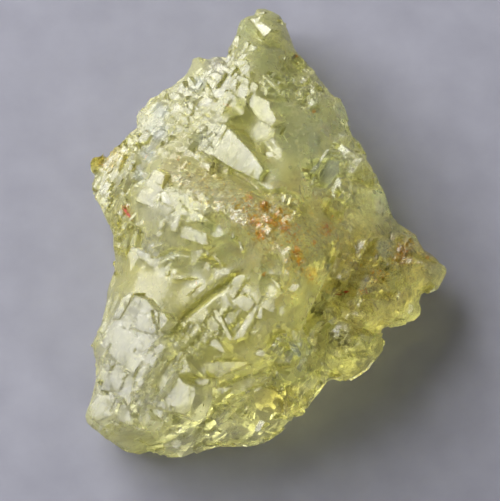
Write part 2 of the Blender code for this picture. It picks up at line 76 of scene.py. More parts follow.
# silhouette, clockwise from the tip: x, y on the sheet, height of the rim in mm
SILHOUETTE = [
    (256, 8, 6), (263.5, 7.2, 6), (272, 10, 6), (280.5, 14.5, 6.1), (285, 22, 6.2), (289, 30, 6.3), (292.6, 40, 6.4), (296, 49, 6.6),
    (301, 57.5, 6.8), (306.5, 63.7, 6.9), (314, 68, 7), (319, 76.5, 7.1), (323.5, 84.2, 7.2), (331, 92, 7.2), (339.5, 99, 7.2), (344.5, 110, 7.2),
    (348, 121, 7.1), (351, 130.5, 7), (356.5, 139.6, 6.8), (362, 148.2, 6.6), (367, 157.8, 6.4), (371.7, 167.3, 6.2), (376.5, 177.8, 6), (383.2, 187.4, 5.8),
    (387.2, 197, 5.6), (390, 206.5, 5.4), (393.8, 216.2, 5.2), (399.5, 222.8, 5), (410.3, 229.8, 4.8), (416.9, 234.1, 4.6), (420.1, 241.7, 4.4), (426.6, 251.4, 4.2),
    (434.2, 257.9, 4.1), (441.8, 264.5, 4), (447.2, 271, 3.9), (446.1, 277.5, 3.8), (441.8, 283, 3.7), (439.6, 287.2, 3.6), (430.9, 291.6, 3.5), (422.3, 294.8, 3.4),
    (420.1, 302.4, 3.3), (422.3, 308.9, 3.2), (421.2, 315.4, 3.1), (414.7, 321.9, 3), (403.8, 324.1, 3), (389.7, 326.8, 3), (383.2, 329.5, 3), (381.1, 336, 3),
    (384.3, 342.5, 2.9), (384.3, 350.1, 2.8), (380, 356.6, 2.7), (372.4, 362, 2.6), (368.1, 368.5, 2.5), (360.5, 374, 2.4), (351.8, 379.4, 2.4), (345.3, 382.6, 2.3),
    (339.9, 380.5, 2.3), (333.4, 378.3, 2.3), (327.9, 379.4, 2.3), (319.2, 391.1, 2.2), (313.5, 397.8, 2.1), (307.8, 405.5, 2), (304.9, 411.2, 1.9), (301.1, 415, 1.9),
    (293.4, 416, 1.8), (287.7, 423.7, 1.7), (281, 431.3, 1.6), (271.4, 438, 1.5), (261.8, 442.8, 1.5), (251.3, 445.2, 1.5), (237, 445.7, 1.5), (227.4, 445.7, 1.5),
    (217.8, 445.7, 1.5), (203.5, 449.5, 1.4), (193, 454.3, 1.4), (182.4, 458.2, 1.4), (168.1, 458.6, 1.5), (163.3, 455.8, 1.6), (155.7, 451.9, 1.7), (148, 452.9, 1.8),
    (139.4, 455.8, 1.9), (130.8, 453.8, 2), (122.2, 449, 2.2), (114.5, 444.3, 2.4), (105.9, 440.4, 2.6), (98.3, 433.8, 2.8), (91.6, 429, 3), (85.8, 423.2, 3.2),
    (83.9, 415.6, 3.4), (86.8, 407, 3.6), (92.5, 397.4, 3.8), (94.9, 387.8, 4), (97.3, 378.3, 4.1), (95.9, 364.5, 4.2), (92.8, 355, 4.3), (91, 344.5, 4.4),
    (93, 338.4, 4.4), (98.7, 328.9, 4.5), (101.6, 317.4, 4.6), (105.4, 301, 4.8), (105.9, 292.5, 4.8), (108.3, 283, 4.9), (113, 272.4, 5), (114, 262, 5),
    (114.5, 249.6, 5.1), (114, 235.2, 5.2), (110.2, 225.7, 5.2), (105.4, 216.1, 5.2), (100.6, 204.6, 5.2), (96.3, 198.9, 5.2), (93, 191.2, 5.3), (93, 181.7, 5.4),
    (95.4, 175, 5.4), (92, 170.2, 5.5), (91.3, 163, 5.5), (93.5, 158.6, 5.6), (101, 157.3, 5.7), (107.7, 151, 5.8), (115.4, 148.1, 5.9), (120.2, 145.5, 6),
    (125.9, 138.5, 6), (130.7, 133.8, 6), (138.2, 128, 6), (137.4, 120.4, 6), (138.6, 113.7, 6), (146, 105, 6), (150.8, 99.3, 6), (158.4, 96.4, 6),
    (164.2, 90.7, 6), (171.8, 87.8, 6), (177.6, 83, 6), (183.3, 77.3, 6), (186.4, 72, 6), (190, 64.9, 6), (191.5, 58.2, 6), (198.6, 55.6, 6),
    (205, 57.5, 6), (211, 58.6, 5.9), (217, 57.6, 5.9), (223.5, 57.6, 6), (226.5, 59.6, 6.1), (228.6, 54.5, 6.2), (229.4, 46, 6.2), (231.7, 40.5, 6.2),
    (235.3, 33.7, 6.2), (237.2, 25.5, 6.2), (240.2, 19.7, 6.1), (246.8, 15.5, 6), (253.5, 14, 6),
]

# spot heights of the upper surface: x, y, height in mm
SPOT_HEIGHTS = [
    (150, 170, 11.6), (175, 185, 13.6), (205, 195, 15), (240, 210, 16.2), (270, 225, 16.8), (300, 240, 16.3), (320, 258, 15.3), (205, 160, 12.6),
    (235, 172, 13.2), (262, 195, 14.4), (235, 150, 13.6), (250, 110, 12.8), (245, 80, 12.3), (265, 60, 11.6), (262, 32, 9.8), (285, 60, 10.4),
    (300, 90, 11), (290, 130, 12.6), (290, 170, 13.6), (320, 130, 11.2), (335, 152, 10.6), (345, 190, 10.2), (330, 200, 11.6), (310, 212, 13.6),
    (365, 190, 8.6), (375, 215, 8.2), (200, 80, 8.6), (205, 110, 10.6), (180, 105, 9.8), (150, 120, 8.6), (165, 140, 10.4), (185, 140, 11.4),
    (130, 150, 9), (110, 170, 8.2), (125, 185, 10.2), (110, 200, 8.8), (140, 200, 11.8), (160, 220, 13.4), (185, 225, 14.2), (200, 250, 13.4),
    (175, 260, 12.6), (220, 250, 14), (245, 250, 14.8), (135, 240, 10.8), (125, 260, 9.6), (150, 280, 11.2), (180, 290, 12), (205, 290, 12.6),
    (120, 310, 10.2), (145, 320, 12), (110, 345, 9.4), (135, 350, 12), (165, 340, 12.4), (105, 380, 8.2), (130, 380, 11.2), (100, 410, 7.2),
    (115, 422, 7.6), (150, 400, 10.6), (180, 380, 11.6), (175, 410, 9.6), (140, 432, 5.8), (240, 300, 13.4), (262, 280, 14.6), (225, 330, 12.2),
    (250, 330, 12.8), (280, 310, 14.2), (300, 290, 15.2), (310, 270, 15.6), (290, 340, 12.2), (220, 362, 11), (260, 357, 11.4), (205, 390, 9.6),
    (240, 382, 9), (280, 372, 9), (300, 360, 9.6), (200, 425, 5.8), (240, 417, 6), (270, 402, 7), (300, 390, 6.6), (170, 440, 3.8),
    (335, 250, 12.6), (330, 290, 9.6), (322, 325, 8.4), (315, 350, 7.6), (350, 250, 11), (370, 240, 9.4), (390, 240, 7.8), (360, 280, 10),
    (400, 260, 7.8), (428, 270, 6.2), (400, 290, 7.4), (380, 300, 8.4), (345, 300, 10), (350, 330, 8.4), (370, 340, 6.8), (345, 360, 6.4),
    (335, 342, 7.8), (408, 310, 5.6),
]

# flat etch faces: kind of plane, then one or more convex outlines on the sheet that share it
ETCH_FACES = [
    ("etch", [[(254.4, 24), (261, 22), (271.5, 29), (265.5, 39.5)]]),
    ("etch", [[(231.5, 44), (236, 36), (239, 36), (239.5, 48)]]),
    ("etch", [[(238.5, 56), (246, 41), (249.5, 43), (243, 53.5)]]),
    ("etch", [[(247, 52.5), (251, 44), (257, 47.5), (256, 50)]]),
    ("dim", [[(239.5, 26), (243, 26), (244, 29.5), (241, 31)]]),
    ("etch", [[(256, 13.5), (264, 11.5), (264, 13), (257, 15.5)]]),
    ("etch", [[(234, 61), (240, 59), (249, 61.5), (248, 65), (241, 66.5), (237, 69), (233, 66)]]),
    ("etch", [[(219, 89), (233, 65), (236, 67.5), (222, 88)]]),
    ("etch", [[(224, 91), (235, 72), (237.5, 74), (229, 89)]]),
    ("bright", [[(238.5, 82), (242.5, 74.5), (244.3, 76), (240, 83.5)]]),
    ("etch", [[(236, 94), (243.5, 77), (250, 80), (250.5, 84), (245, 99), (237, 97)]]),
    ("bright", [[(251, 81), (256, 80.5), (258, 86.5), (256, 91), (250.5, 92), (249.5, 86)]]),
    ("etch", [[(245.5, 102), (250, 92), (252, 92.5), (247.3, 102)]]),
    ("etch", [[(232, 89), (235.5, 86), (237, 96), (243, 101), (234.5, 99)]]),
    ("dim", [[(252.5, 93.5), (269.5, 102), (271.5, 127), (257, 118), (247.8, 103)], [(270.5, 108), (276, 119), (271, 127.5)]]),
    ("dim", [[(260, 74.5), (262.5, 74.5), (276, 86), (274, 87.5)]]),
    ("dim", [[(256, 81.5), (258, 81.5), (270, 90.5), (266, 90)]]),
    ("etch", [[(227.5, 129), (230, 129.5), (243.6, 144), (252, 153), (263, 169), (257, 184), (232, 168), (215, 160), (212, 155.5)]]),
    ("etch", [[(211, 144.5), (222.5, 123), (227.3, 126.6), (214.5, 148)]]),
    ("etch", [[(209.3, 137.5), (217, 123), (220.3, 122.5), (212.6, 137)]]),
    ("etch", [[(265, 151.5), (273, 152), (274.5, 155), (270, 158.5), (266, 156)]]),
    ("etch", [[(203.5, 88), (207, 86.5), (211, 91), (215, 98), (208, 93.5)]]),
    ("etch", [[(175, 92), (184.5, 78), (186, 86), (182, 94)]], 0.6),
    ("dim", [[(186.3, 77), (189.5, 77), (194.5, 85), (195, 93), (189, 88)]]),
    ("etch", [[(186, 87), (189, 89), (194, 95), (186, 96.5), (182.5, 94.8)]], 0.5),
    ("etch", [[(168, 95.5), (171.8, 92.1), (177.6, 93.6), (181.4, 97.4), (177.6, 100.3), (170.9, 99.3)]], 1.2),
    ("bright", [[(183.5, 103), (185, 101.5), (187, 105), (186, 108)]]),
    ("bright", [[(182, 127), (185, 126.5), (186, 131), (184.5, 133)]]),
    ("etch", [[(137.5, 141), (143.5, 130.5), (150.5, 135), (144, 144.5)]]),
    ("etch", [[(127.5, 138.5), (130, 137.5), (136, 143), (128, 143.5)]]),
    ("etch", [[(120, 151), (123.5, 144), (127, 154), (122, 154)]]),
    ("etch", [[(134.5, 165.5), (146.5, 161.5), (141, 174.5)]]),
    ("etch", [[(105, 174), (107, 172), (112, 183), (110, 183)]]),
    ("etch", [[(112, 159), (115, 156), (118, 160), (115, 162)]]),
    ("bright", [[(97, 199), (100, 198.5), (102, 203), (98, 201.5)]]),
    ("etch", [[(121, 188), (125, 190.5), (124, 192)]]),
    ("etch", [[(134.5, 200.5), (152.5, 170.5), (157, 169.5), (167, 176), (162, 188), (157, 208.5), (150, 206.5)], [(162, 188.5), (168, 193.5), (176, 205.5), (175, 208.5), (160, 201)]]),
    ("dim", [[(158.5, 202), (175, 209.5), (166, 216.5), (160, 216.5)]]),
    ("dim", [[(165.5, 184.3), (169, 183.5), (186, 194), (185, 196), (172, 189.5)]]),
    ("dim", [[(178, 199), (180, 200), (188, 210), (186, 210.5)]]),
    ("etch", [[(157.5, 228.5), (160.5, 221), (170, 213.5), (171, 215.5), (164, 226), (160, 231.5)]]),
    ("etch", [[(169.5, 228), (176, 214.5), (180.5, 214), (181, 219), (175.5, 231.5), (171, 230.5)]]),
    ("etch", [[(154, 235), (158, 232), (166.5, 230), (159, 237.5)]]),
    ("etch", [[(184.5, 222.5), (190, 213), (193.5, 209.5), (197, 211.5), (210, 221)]]),
    ("etch", [[(178.5, 236), (183, 226.5), (187, 225.5), (200, 230.5), (206, 234), (208, 244), (204, 245), (184, 238.5)]]),
    ("dim", [[(190.5, 251), (204.5, 250.5), (191.5, 268)]]),
    ("etch", [[(136, 250.5), (141, 250), (150, 256), (148, 263), (138.5, 258)], [(133.5, 263), (142, 260), (150, 257), (158, 263), (162, 270), (156, 272), (150, 266.5)], [(152, 259), (160, 256.5), (162, 257.5), (158, 263)]]),
    ("dim", [[(166, 254), (175, 256.5), (174, 260), (171, 259.5)]]),
    ("etch", [[(115, 240.5), (119, 242.5), (123.5, 246), (122, 251), (118, 246)]]),
    ("bright", [[(165, 272), (169, 270.5), (168, 275.5), (165, 275)]]),
    ("bright", [[(135, 231), (139, 230), (138, 234.5), (135.5, 234)]]),
    ("bright", [[(206, 251), (210, 251), (209, 255), (206.5, 255)]]),
    ("dim", [[(210.5, 253), (212, 252.5), (222, 263.5), (220, 265)]]),
    ("dim", [[(209, 266.5), (213.5, 263), (212.5, 265.5), (209, 269)]]),
    ("bright", [[(226.5, 276), (230, 272.5), (231, 274), (228, 276.5)]]),
    ("bright", [[(231, 233), (235, 231), (234, 238), (232, 238)]]),
    ("etch", [[(237, 237), (238.5, 237), (243.5, 250), (241, 252)]]),
    ("dim", [[(172, 274), (180, 275), (190, 277.5), (178, 279.5), (173, 279)]]),
    ("dim", [[(150, 247), (160, 243), (162, 244), (155, 248)]]),
    ("dim", [[(110, 285), (113.5, 272), (117, 283), (112, 290)]]),
    ("dim", [[(108, 300), (113, 292.5), (113, 300), (105, 320), (102, 320)]]),
    ("etch", [[(112, 319), (130, 293.5), (146, 300), (158, 313), (158, 336), (136, 371), (131, 373), (117, 361), (99, 343)]], 0, (130, 335)),
    ("etch", [[(113, 367), (117, 364), (139, 382), (131, 405), (112, 415), (96, 421), (88, 410)]], 0, (112, 393)),
    ("etch", [[(151, 404), (183, 353), (195, 382), (195, 395), (190, 411), (184, 414), (165, 410)]], 0, (178, 388)),
    ("etch", [[(122, 298.5), (130, 293.5), (133, 293.5), (128, 304), (119, 319), (112, 319)]], 0.12, (130, 335)),
    ("etch", [[(130, 308), (137, 303), (139, 304), (138, 314), (134, 312)]], 0.03, (130, 335)),
    ("etch", [[(139, 313), (146, 302), (149, 305), (152, 310), (158, 313), (158, 335), (150, 334), (136, 330), (128, 328), (120, 322), (128, 312)]], 0.08, (130, 335)),
    ("etch", [[(159.5, 312), (164, 313.5), (168, 320), (163, 327), (160, 330)]], 0.16, (130, 335)),
    ("etch", [[(112, 322), (127, 329.5), (135, 333), (143, 345), (147, 352), (136, 371), (131, 373), (117, 361), (99, 343), (103, 339)]], 0.05, (130, 335)),
    ("etch", [[(150, 350), (155, 352.5), (141, 381), (134, 380), (143, 359)]], 0.16, (130, 335)),
    ("etch", [[(151, 348.5), (161, 344), (166, 346), (156.5, 357), (154, 352)]], 0.1, (130, 335)),
    ("etch", [[(113, 367), (117, 364), (122, 368), (127, 374), (119, 391.5), (102, 391), (108, 379)]], 0.1, (112, 393)),
    ("etch", [[(126, 404), (134, 383), (139, 382), (131, 405)]], 0.12, (112, 393)),
    ("etch", [[(89, 407), (99, 392.5), (110, 394), (112, 398), (104, 412), (96, 420), (89, 412)]], 0.04, (112, 393)),
    ("etch", [[(107, 409), (112, 399), (115, 399), (109, 411)]], 0.14, (112, 393)),
    ("dim", [[(116, 418), (120, 404), (124, 402), (132, 417), (133, 425), (128, 425)]]),
    ("dim", [[(140, 405), (146, 410), (150, 420), (144, 428), (138, 420)]], 0.5),
    ("bright", [[(152, 409), (158, 409), (164, 411), (161, 418), (154, 414)]]),
    ("etch", [[(151, 403), (160, 389), (166, 380), (168, 382), (160, 398), (153, 406)]], 0.14, (178, 388)),
    ("etch", [[(165, 394), (183, 363), (186, 360), (188, 368), (190, 378), (194, 382), (195, 395), (190, 404), (190, 411), (184, 414), (170, 410), (165, 405)]], 0.05, (178, 388)),
    ("etch", [[(156, 385), (160, 372), (171, 361), (180, 352.5), (183, 353), (171, 375), (160, 391)]], 0.12, (178, 388)),
    ("etch", [[(192, 379), (198, 377), (209, 379), (208, 384), (202, 386), (195.5, 383)]]),
    ("bright", [[(212, 415), (215, 410), (220, 404.5), (224, 405), (224, 411), (218, 418), (214, 420)]], 0.7),
    ("etch", [[(196, 438), (216, 429), (217, 431.5), (200, 441)]], 0.6),
    ("bright", [[(188, 445), (212, 437), (213, 440), (190, 448)]], 0.6),
    ("etch", [[(152, 448), (170, 443), (172, 446), (154, 451)]], 0.4),
    ("etch", [[(233, 278), (240, 274.5), (246, 276), (245, 287), (236, 292.5), (230, 299), (229, 290)]]),
    ("etch", [[(229, 300.5), (238, 296), (247, 288), (251, 296), (260, 301), (259, 305), (252, 310), (247, 312), (240, 308)]]),
    ("etch", [[(233, 340), (247, 316), (256, 303.5), (260, 305), (243, 337)]]),
    ("etch", [[(256, 318), (260, 307), (262.5, 309), (262, 319)]]),
    ("etch", [[(212, 309), (216.5, 308.5), (233, 340), (229, 340)]]),
    ("etch", [[(208, 344), (213, 336), (217, 340), (226, 352), (224, 353), (215, 348)]]),
    ("dim", [[(206, 322), (212, 316), (219, 325), (217, 331), (212, 330)]]),
    ("etch", [[(270, 278), (272, 278), (281, 287), (279, 289)]]),
    ("bright", [[(254, 352), (259, 349), (264, 350), (266, 354), (262, 357), (256, 355)]]),
    ("dim", [[(270, 349), (276, 341), (279, 335), (281.5, 335.5), (272, 351)]]),
    ("etch", [[(278, 333.5), (282, 333.5), (282, 337), (279, 337)]], 0.3),
    ("dim", [[(283, 353), (291, 347), (292, 349), (284, 356)]], 0.3),
    ("dim", [[(282, 358), (290, 352), (292, 354), (284, 360)]], 0.4),
    ("bright", [[(294.5, 366), (297, 359), (300, 359), (299, 363), (296.5, 368)]], 0.4),
    ("dim", [[(256, 378), (277, 370), (278, 373), (258, 384)]], 0.4),
    ("etch", [[(320, 382), (325, 378), (329, 378), (318, 390), (309, 401), (307, 403), (312, 392)]], 0.9),
    ("etch", [[(317, 370), (319, 370), (321, 376), (320, 380), (317.5, 376)]], 0.9),
    ("bright", [[(303, 86.5), (306, 85), (306, 87), (304, 88.5)]]),
    ("etch", [[(281, 92), (284, 90), (283, 95), (281, 96)]], 0.5),
    ("dim", [[(312, 170), (327, 149), (329, 150), (314, 172)]]),
    ("dim", [[(315, 179), (331, 153), (332.5, 154), (317, 180)]]),
    ("glass", [[(320, 172), (332, 156), (339, 160), (339, 172), (333, 180), (326, 188), (318, 186)]]),
    ("dim", [[(331, 188), (338, 177), (341, 180), (341, 190), (333, 200), (331, 196)]], 0.6),
    ("bright", [[(340, 196), (342, 193), (343.5, 195), (341, 198)]]),
    ("etch", [[(332, 142), (336, 141), (336.5, 143), (333, 143.5)]], 0.4),
    ("etch", [[(282, 198), (284, 194), (286, 195), (284.5, 201), (282, 202)]], 1.1),
    ("dim", [[(325, 309), (330, 307), (333.5, 311), (333, 318), (328, 322), (326, 320)]], 0.6),
    ("etch", [[(320, 319), (322, 319), (323, 324), (321, 326)]]),
    ("dim", [[(347, 320), (350, 322), (362, 335), (360, 338)]]),
    ("bright", [[(335, 374), (340, 373), (342, 375), (337, 378)]]),
    ("dim", [[(361, 281), (367, 275), (369, 278), (363, 288), (360, 286)]]),
    ("etch", [[(381, 259.6), (384.4, 259.6), (384, 261.8), (381, 261.4)]]),
    ("etch", [[(342, 351), (346, 356), (344, 358), (341, 354)]]),
]

# troughs and seams: half width in sheet units, depth in mm, path over the sheet
GROOVES = [
    (8, 0.7, [(228, 98), (243, 116), (258, 136), (276, 160)]),
    (5, 0.7, [(198, 158), (216, 164), (236, 174), (258, 190), (280, 205)]),
    (8, 0.5, [(168, 100), (160, 122), (150, 150), (138, 190)]),
    (3.5, 0.6, [(243, 273), (222, 286), (196, 306), (180, 320), (168, 338)]),
    (6, 1.5, [(337, 248), (332, 268), (330, 290), (321, 318), (317, 342), (312, 364)]),
    (3, 0.6, [(172, 438), (196, 430), (214, 422), (232, 408), (250, 400)]),
    (4, 0.5, [(262, 198), (280, 194), (296, 200), (312, 218)]),
    (2.5, 0.5, [(313, 82), (322, 90), (330, 96)]),
    (2.2, 0.5, [(311, 158), (311, 184), (306, 200)]),
    (3, 0.5, [(232, 38), (246, 32), (262, 42), (284, 50)]),
    (3, 0.5, [(132, 190), (128, 206), (120, 222)]),
    (3, 0.45, [(150, 262), (176, 250), (200, 254), (224, 268)]),
    (4, 0.6, [(300, 368), (286, 364), (262, 372), (236, 378), (212, 384)]),
    (3, 0.5, [(344, 304), (352, 318), (364, 330), (378, 328)]),
    (3, 0.5, [(372, 238), (384, 250), (402, 258), (424, 256)]),
    (3, 0.5, [(352, 246), (362, 262), (372, 276), (398, 284)]),
]

# soft zones of the skin: x, y, radius on the sheet
ZONES = {
    "glassy": [(262, 25, 16), (243, 118, 18), (284, 125, 20), (300, 150, 26), (290, 185, 22), (322, 168, 18), (343, 112, 12),
               (383, 203, 14), (185, 300, 24), (150, 288, 20), (130, 268, 14), (118, 256, 10), (240, 352, 24), (205, 358, 16), (285, 350, 14),
               (275, 388, 16), (302, 384, 16), (262, 420, 18), (352, 372, 14), (412, 312, 10), (430, 276, 10), (125, 440, 18), (101, 345, 8)],
    "clear": [(275, 388, 12), (262, 420, 16), (285, 350, 12), (322, 312, 10), (322, 168, 12), (262, 25, 10), (338, 336, 10), (225, 425, 14), (352, 372, 12)],
    "lumpy": [(350, 200, 22), (355, 170, 16), (340, 150, 14), (310, 80, 18), (300, 100, 14), (345, 280, 18), (360, 255, 24), (385, 262, 26), (412, 272, 24), (400, 298, 22), (365, 310, 22), (350, 350, 22),
              (290, 70, 16), (320, 95, 12)],
    "stepped": [(230, 70, 20), (214, 90, 22), (180, 105, 26), (150, 130, 24), (120, 165, 26), (110, 200, 22), (125, 235, 20),   (205, 140, 18), (215, 165, 14), 
                  (115, 385, 26), (150, 375, 24), (165, 405, 26), (110, 412, 18), (145, 412, 18),  (190, 338, 16), (215, 325, 14), (240, 290, 12), (232, 318, 10),
                (295, 70, 16), (275, 85, 12), (310, 95, 14), (350, 150, 16), (362, 178, 14), (330, 272, 10), (345, 335, 12), (318, 345, 12), (285, 350, 14), (215, 410, 18), (235, 405, 12), (400, 250, 16), (375, 255, 14), (425, 265, 12), (365, 310, 14), (280, 210, 18), (200, 430, 14)],
    "fuzzy": [(185, 178, 16), (205, 190, 18), (228, 202, 20), (252, 214, 20), (276, 226, 20), (300, 240, 20), (322, 250, 14), (296, 266, 14),
              (270, 244, 14), (200, 218, 10)],
}

# blocks of the lattice standing from the skin or sunk in it: number a square mm, least and most size in mm,
# lengthening, least and most share standing out, lean in degrees, share that are sunk
BLOCKS = {
    "block": (0.06, 0.25, 0.80, 1.5, 0.08, 0.22, 9, 0.6),
    "crumb": (0.22, 0.16, 0.55, 1.2, 0.10, 0.30, 16, 0.6),
    "fuzz": (0.5, 0.10, 0.26, 1.0, 0.12, 0.4, 40, 0.4),
    "glass": (0.04, 0.30, 0.8, 2.5, 0.04, 0.12, 3, 1.0),
    "plate": (0.08, 0.25, 1.0, 1.8, 0.04, 0.12, 2.5, 0.5),
    "lobe": (0.22, 0.25, 0.9, 1.1, 0.05, 0.22, 25, 0.5),
    "conch": (0.14, 0.3, 0.9, 1.1, 0.05, 0.2, 25, 0.6),
    "under": (0.25, 0.6, 2.2, 1.4, 0.15, 0.5, 20, 0.8),
}
BLOCK_ZONES = [
    (262, 28, 22, "glass"), (236, 45, 14, "block"), (275, 50, 22, "block"), (240, 72, 18, "block"), (258, 100, 22, "block"), (214, 68, 18, "crumb"),
    (280, 75, 22, "crumb"), (300, 85, 24, "crumb"), (318, 92, 16, "crumb"), (243, 118, 20, "glass"), (225, 105, 14, "block"), (206, 100, 20, "crumb"),
    (205, 135, 22, "crumb"), (240, 150, 24, "plate"), (176, 108, 26, "crumb"), (150, 118, 20, "block"), (135, 140, 20, "block"), (158, 132, 18, "glass"),
    (108, 166, 24, "crumb"), (120, 190, 24, "crumb"), (108, 210, 18, "crumb"), (135, 165, 12, "block"), (180, 150, 20, "crumb"),
    (285, 130, 22, "glass"), (300, 155, 26, "glass"), (290, 185, 20, "glass"), (268, 150, 12, "plate"), (322, 120, 16, "crumb"), (325, 165, 20, "glass"),
    (345, 115, 12, "glass"), (350, 150, 20, "block"), (365, 180, 20, "block"), (378, 200, 18, "glass"), (350, 200, 20, "glass"), (375, 225, 18, "block"),
    (195, 185, 24, "fuzz"), (222, 200, 24, "fuzz"), (250, 215, 26, "fuzz"), (278, 230, 26, "fuzz"), (302, 245, 24, "fuzz"), (322, 252, 16, "fuzz"),
    (150, 190, 22, "plate"), (172, 205, 20, "plate"), (192, 225, 22, "plate"), (160, 225, 18, "plate"), (205, 240, 18, "plate"), (130, 225, 18, "crumb"), (120, 240, 14, "block"),
    (165, 250, 22, "crumb"), (190, 262, 20, "crumb"), (215, 258, 20, "block"), (150, 285, 30, "glass"), (190, 300, 26, "glass"), (120, 270, 18, "glass"),
    (235, 265, 18, "crumb"), (245, 300, 26, "plate"), (228, 325, 22, "plate"), (268, 285, 16, "block"), (285, 300, 20, "block"), (300, 285, 20, "block"),
    (275, 330, 16, "glass"), (300, 320, 18, "block"), (120, 320, 24, "plate"), (130, 350, 28, "plate"), (160, 345, 18, "crumb"), (110, 385, 24, "plate"), (135, 380, 20, "plate"),
    (155, 378, 14, "crumb"), (175, 385, 22, "plate"), (150, 405, 20, "crumb"), (165, 420, 16, "block"), (105, 415, 16, "plate"), (120, 435, 20, "block"), (145, 440, 16, "glass"),
    (205, 350, 20, "glass"), (240, 352, 24, "glass"), (275, 350, 18, "plate"), (215, 385, 22, "glass"), (245, 385, 24, "glass"), (275, 385, 24, "conch"),
    (300, 385, 20, "glass"), (195, 405, 16, "block"), (215, 425, 24, "conch"), (250, 425, 24, "glass"), (180, 445, 20, "conch"),
    (330, 270, 14, "crumb"), (322, 310, 14, "glass"), (330, 325, 12, "crumb"), (318, 345, 12, "block"), (340, 337, 14, "crumb"), (355, 320, 16, "lobe"),
    (355, 255, 24, "lobe"), (385, 250, 24, "lobe"), (405, 250, 16, "crumb"), (425, 270, 22, "lobe"), (400, 290, 24, "lobe"), (370, 290, 22, "lobe"),
    (410, 312, 14, "glass"), (372, 345, 18, "lobe"), (350, 372, 18, "glass"),
]

# conchoidal scoops: x, y on the sheet, depth and radius in mm, lean to the right and down
SCOOPS = [
    (286, 372, 0.45, 1.5, 0.2, 0.3), (303, 380, 0.4, 1.1, 0.3, 0.1), (296, 395, 0.3, 1.0, 0.3, 0.4), (270, 384, 0.35, 1.6, 0.0, 0.4), (252, 392, 0.3, 1.3, 0.0, 0.3),
    (322, 312, 0.5, 1.0, -0.3, 0.1), (340, 336, 0.55, 1.15, 0.1, 0.2), (352, 322, 0.3, 0.9, 0.2, 0.2), (262, 284, 0.25, 0.8, 0.1, 0.0),
    (242, 320, 0.35, 1.0, 0.0, 0.1), (336, 205, 0.35, 0.8, 0.3, 0.0), (231, 372, 0.3, 1.4, 0.0, 0.3),
    (206, 222, 0.3, 0.9, 0.2, 0.2), (282, 352, 0.35, 1.2, 0.1, 0.1), (200, 418, 0.3, 1.2, 0.0, 0.4), (228, 418, 0.3, 1.3, 0.0, 0.5),
    (360, 360, 0.3, 1.2, 0.3, 0.5), (395, 300, 0.3, 1.2, 0.2, 0.4), (372, 262, 0.3, 1.1, 0.1, 0.0), (412, 268, 0.3, 1.0, 0.3, 0.1), (345, 285, 0.3, 0.9, 0.0, 0.0),
    (385, 190, 0.2, 0.9, 0.5, 0.0), (243, 118, 0.2, 1.6, 0.1, -0.1), (300, 60, 0.3, 0.9, 0.3, -0.2), (262, 270, 0.2, 0.9, 0, 0),
]

# dark flecks and pale ones just under the skin: x, y, radius on the sheet, number
DARK_FLECKS = [
    (329, 265, 5, 25), (337, 283, 3, 13), (360, 240, 16, 38), (384, 262, 12, 38), (404, 250, 10, 23), (372, 285, 12, 23), (340, 336, 12, 26), (318, 312, 7, 23), (322, 300, 8, 11),
    (300, 95, 14, 12), (315, 80, 10, 8), (360, 180, 14, 21), (372, 210, 12, 15), (352, 216, 12, 13), (395, 285, 14, 19), (270, 400, 12, 6), (297, 404, 7, 13), (230, 440, 10, 8),
    (175, 436, 12, 8), (208, 140, 12, 8), (215, 165, 10, 8), (105, 200, 12, 6), (305, 205, 12, 3), (326, 230, 7, 4), (285, 330, 12, 6), (290, 60, 10, 6), (415, 262, 8, 11),
]
PALE_FLECKS = [
    (300, 100, 16, 83), (285, 70, 12, 31), (320, 95, 12, 42), (350, 150, 16, 49), (365, 185, 14, 62), (345, 235, 14, 83), (356, 275, 10, 49), (330, 290, 9, 62), (350, 330, 12, 62),
    (400, 300, 14, 49), (380, 310, 12, 42), (405, 260, 12, 49), (425, 262, 10, 32), (110, 180, 16, 52), (130, 150, 14, 31), (125, 225, 14, 31), (200, 130, 16, 39), (260, 200, 14, 31),
    (322, 226, 16, 70), (312, 206, 14, 40), (302, 140, 16, 30), (230, 205, 16, 31), (290, 210, 12, 31), (215, 265, 14, 26), (165, 395, 14, 21), (215, 412, 14, 26), (180, 445, 14, 21), (265, 340, 14, 16), (315, 360, 8, 32), (375, 345, 10, 25), (268, 285, 12, 21),
]

# pitted parts of the etched planes: x, y, radius on the sheet, pits a square mm
PIT_ZONES = [
    (125, 345, 22, 0.64), (112, 385, 14, 0.24), (132, 380, 14, 0.40), (150, 372, 12, 0.40), (100, 408, 12, 0.24), (120, 420, 14, 0.32), (148, 412, 16, 0.48),
    (170, 425, 14, 0.48), (165, 372, 12, 0.32), (240, 285, 14, 0.64), (215, 325, 12, 0.24), (195, 342, 16, 0.32), (215, 412, 12, 0.32),
    (200, 438, 18, 0.32), (345, 335, 12, 0.80), (205, 165, 12, 0.40),
]

# deep is a painted shade colour for dark see-through flats, slots and creases; frost is also used as a partly painted
# highlight on etch faces
TINTS = {
    "body": (0.91, 0.90, 0.50), "olive": (0.72, 0.72, 0.26), "yellow": (0.92, 0.88, 0.34), "pale": (0.95, 0.95, 0.76), "mint": (0.84, 0.94, 0.76),
    "blue": (0.82, 0.89, 0.88), "green": (0.70, 0.80, 0.46), "ochre": (0.92, 0.76, 0.24), "rust": (0.88, 0.38, 0.04), "brown": (0.60, 0.48, 0.26),
    "deep": (0.36, 0.38, 0.13), "grey": (0.62, 0.62, 0.50), "amber": (0.74, 0.62, 0.18), "lime": (0.86, 0.88, 0.26), "frost": (0.98, 0.98, 0.95), "lilac": (0.93, 0.90, 0.93), "dusk": (0.52, 0.47, 0.16), "leaf": (0.93, 0.96, 0.60), "straw": (0.98, 0.91, 0.64),
}
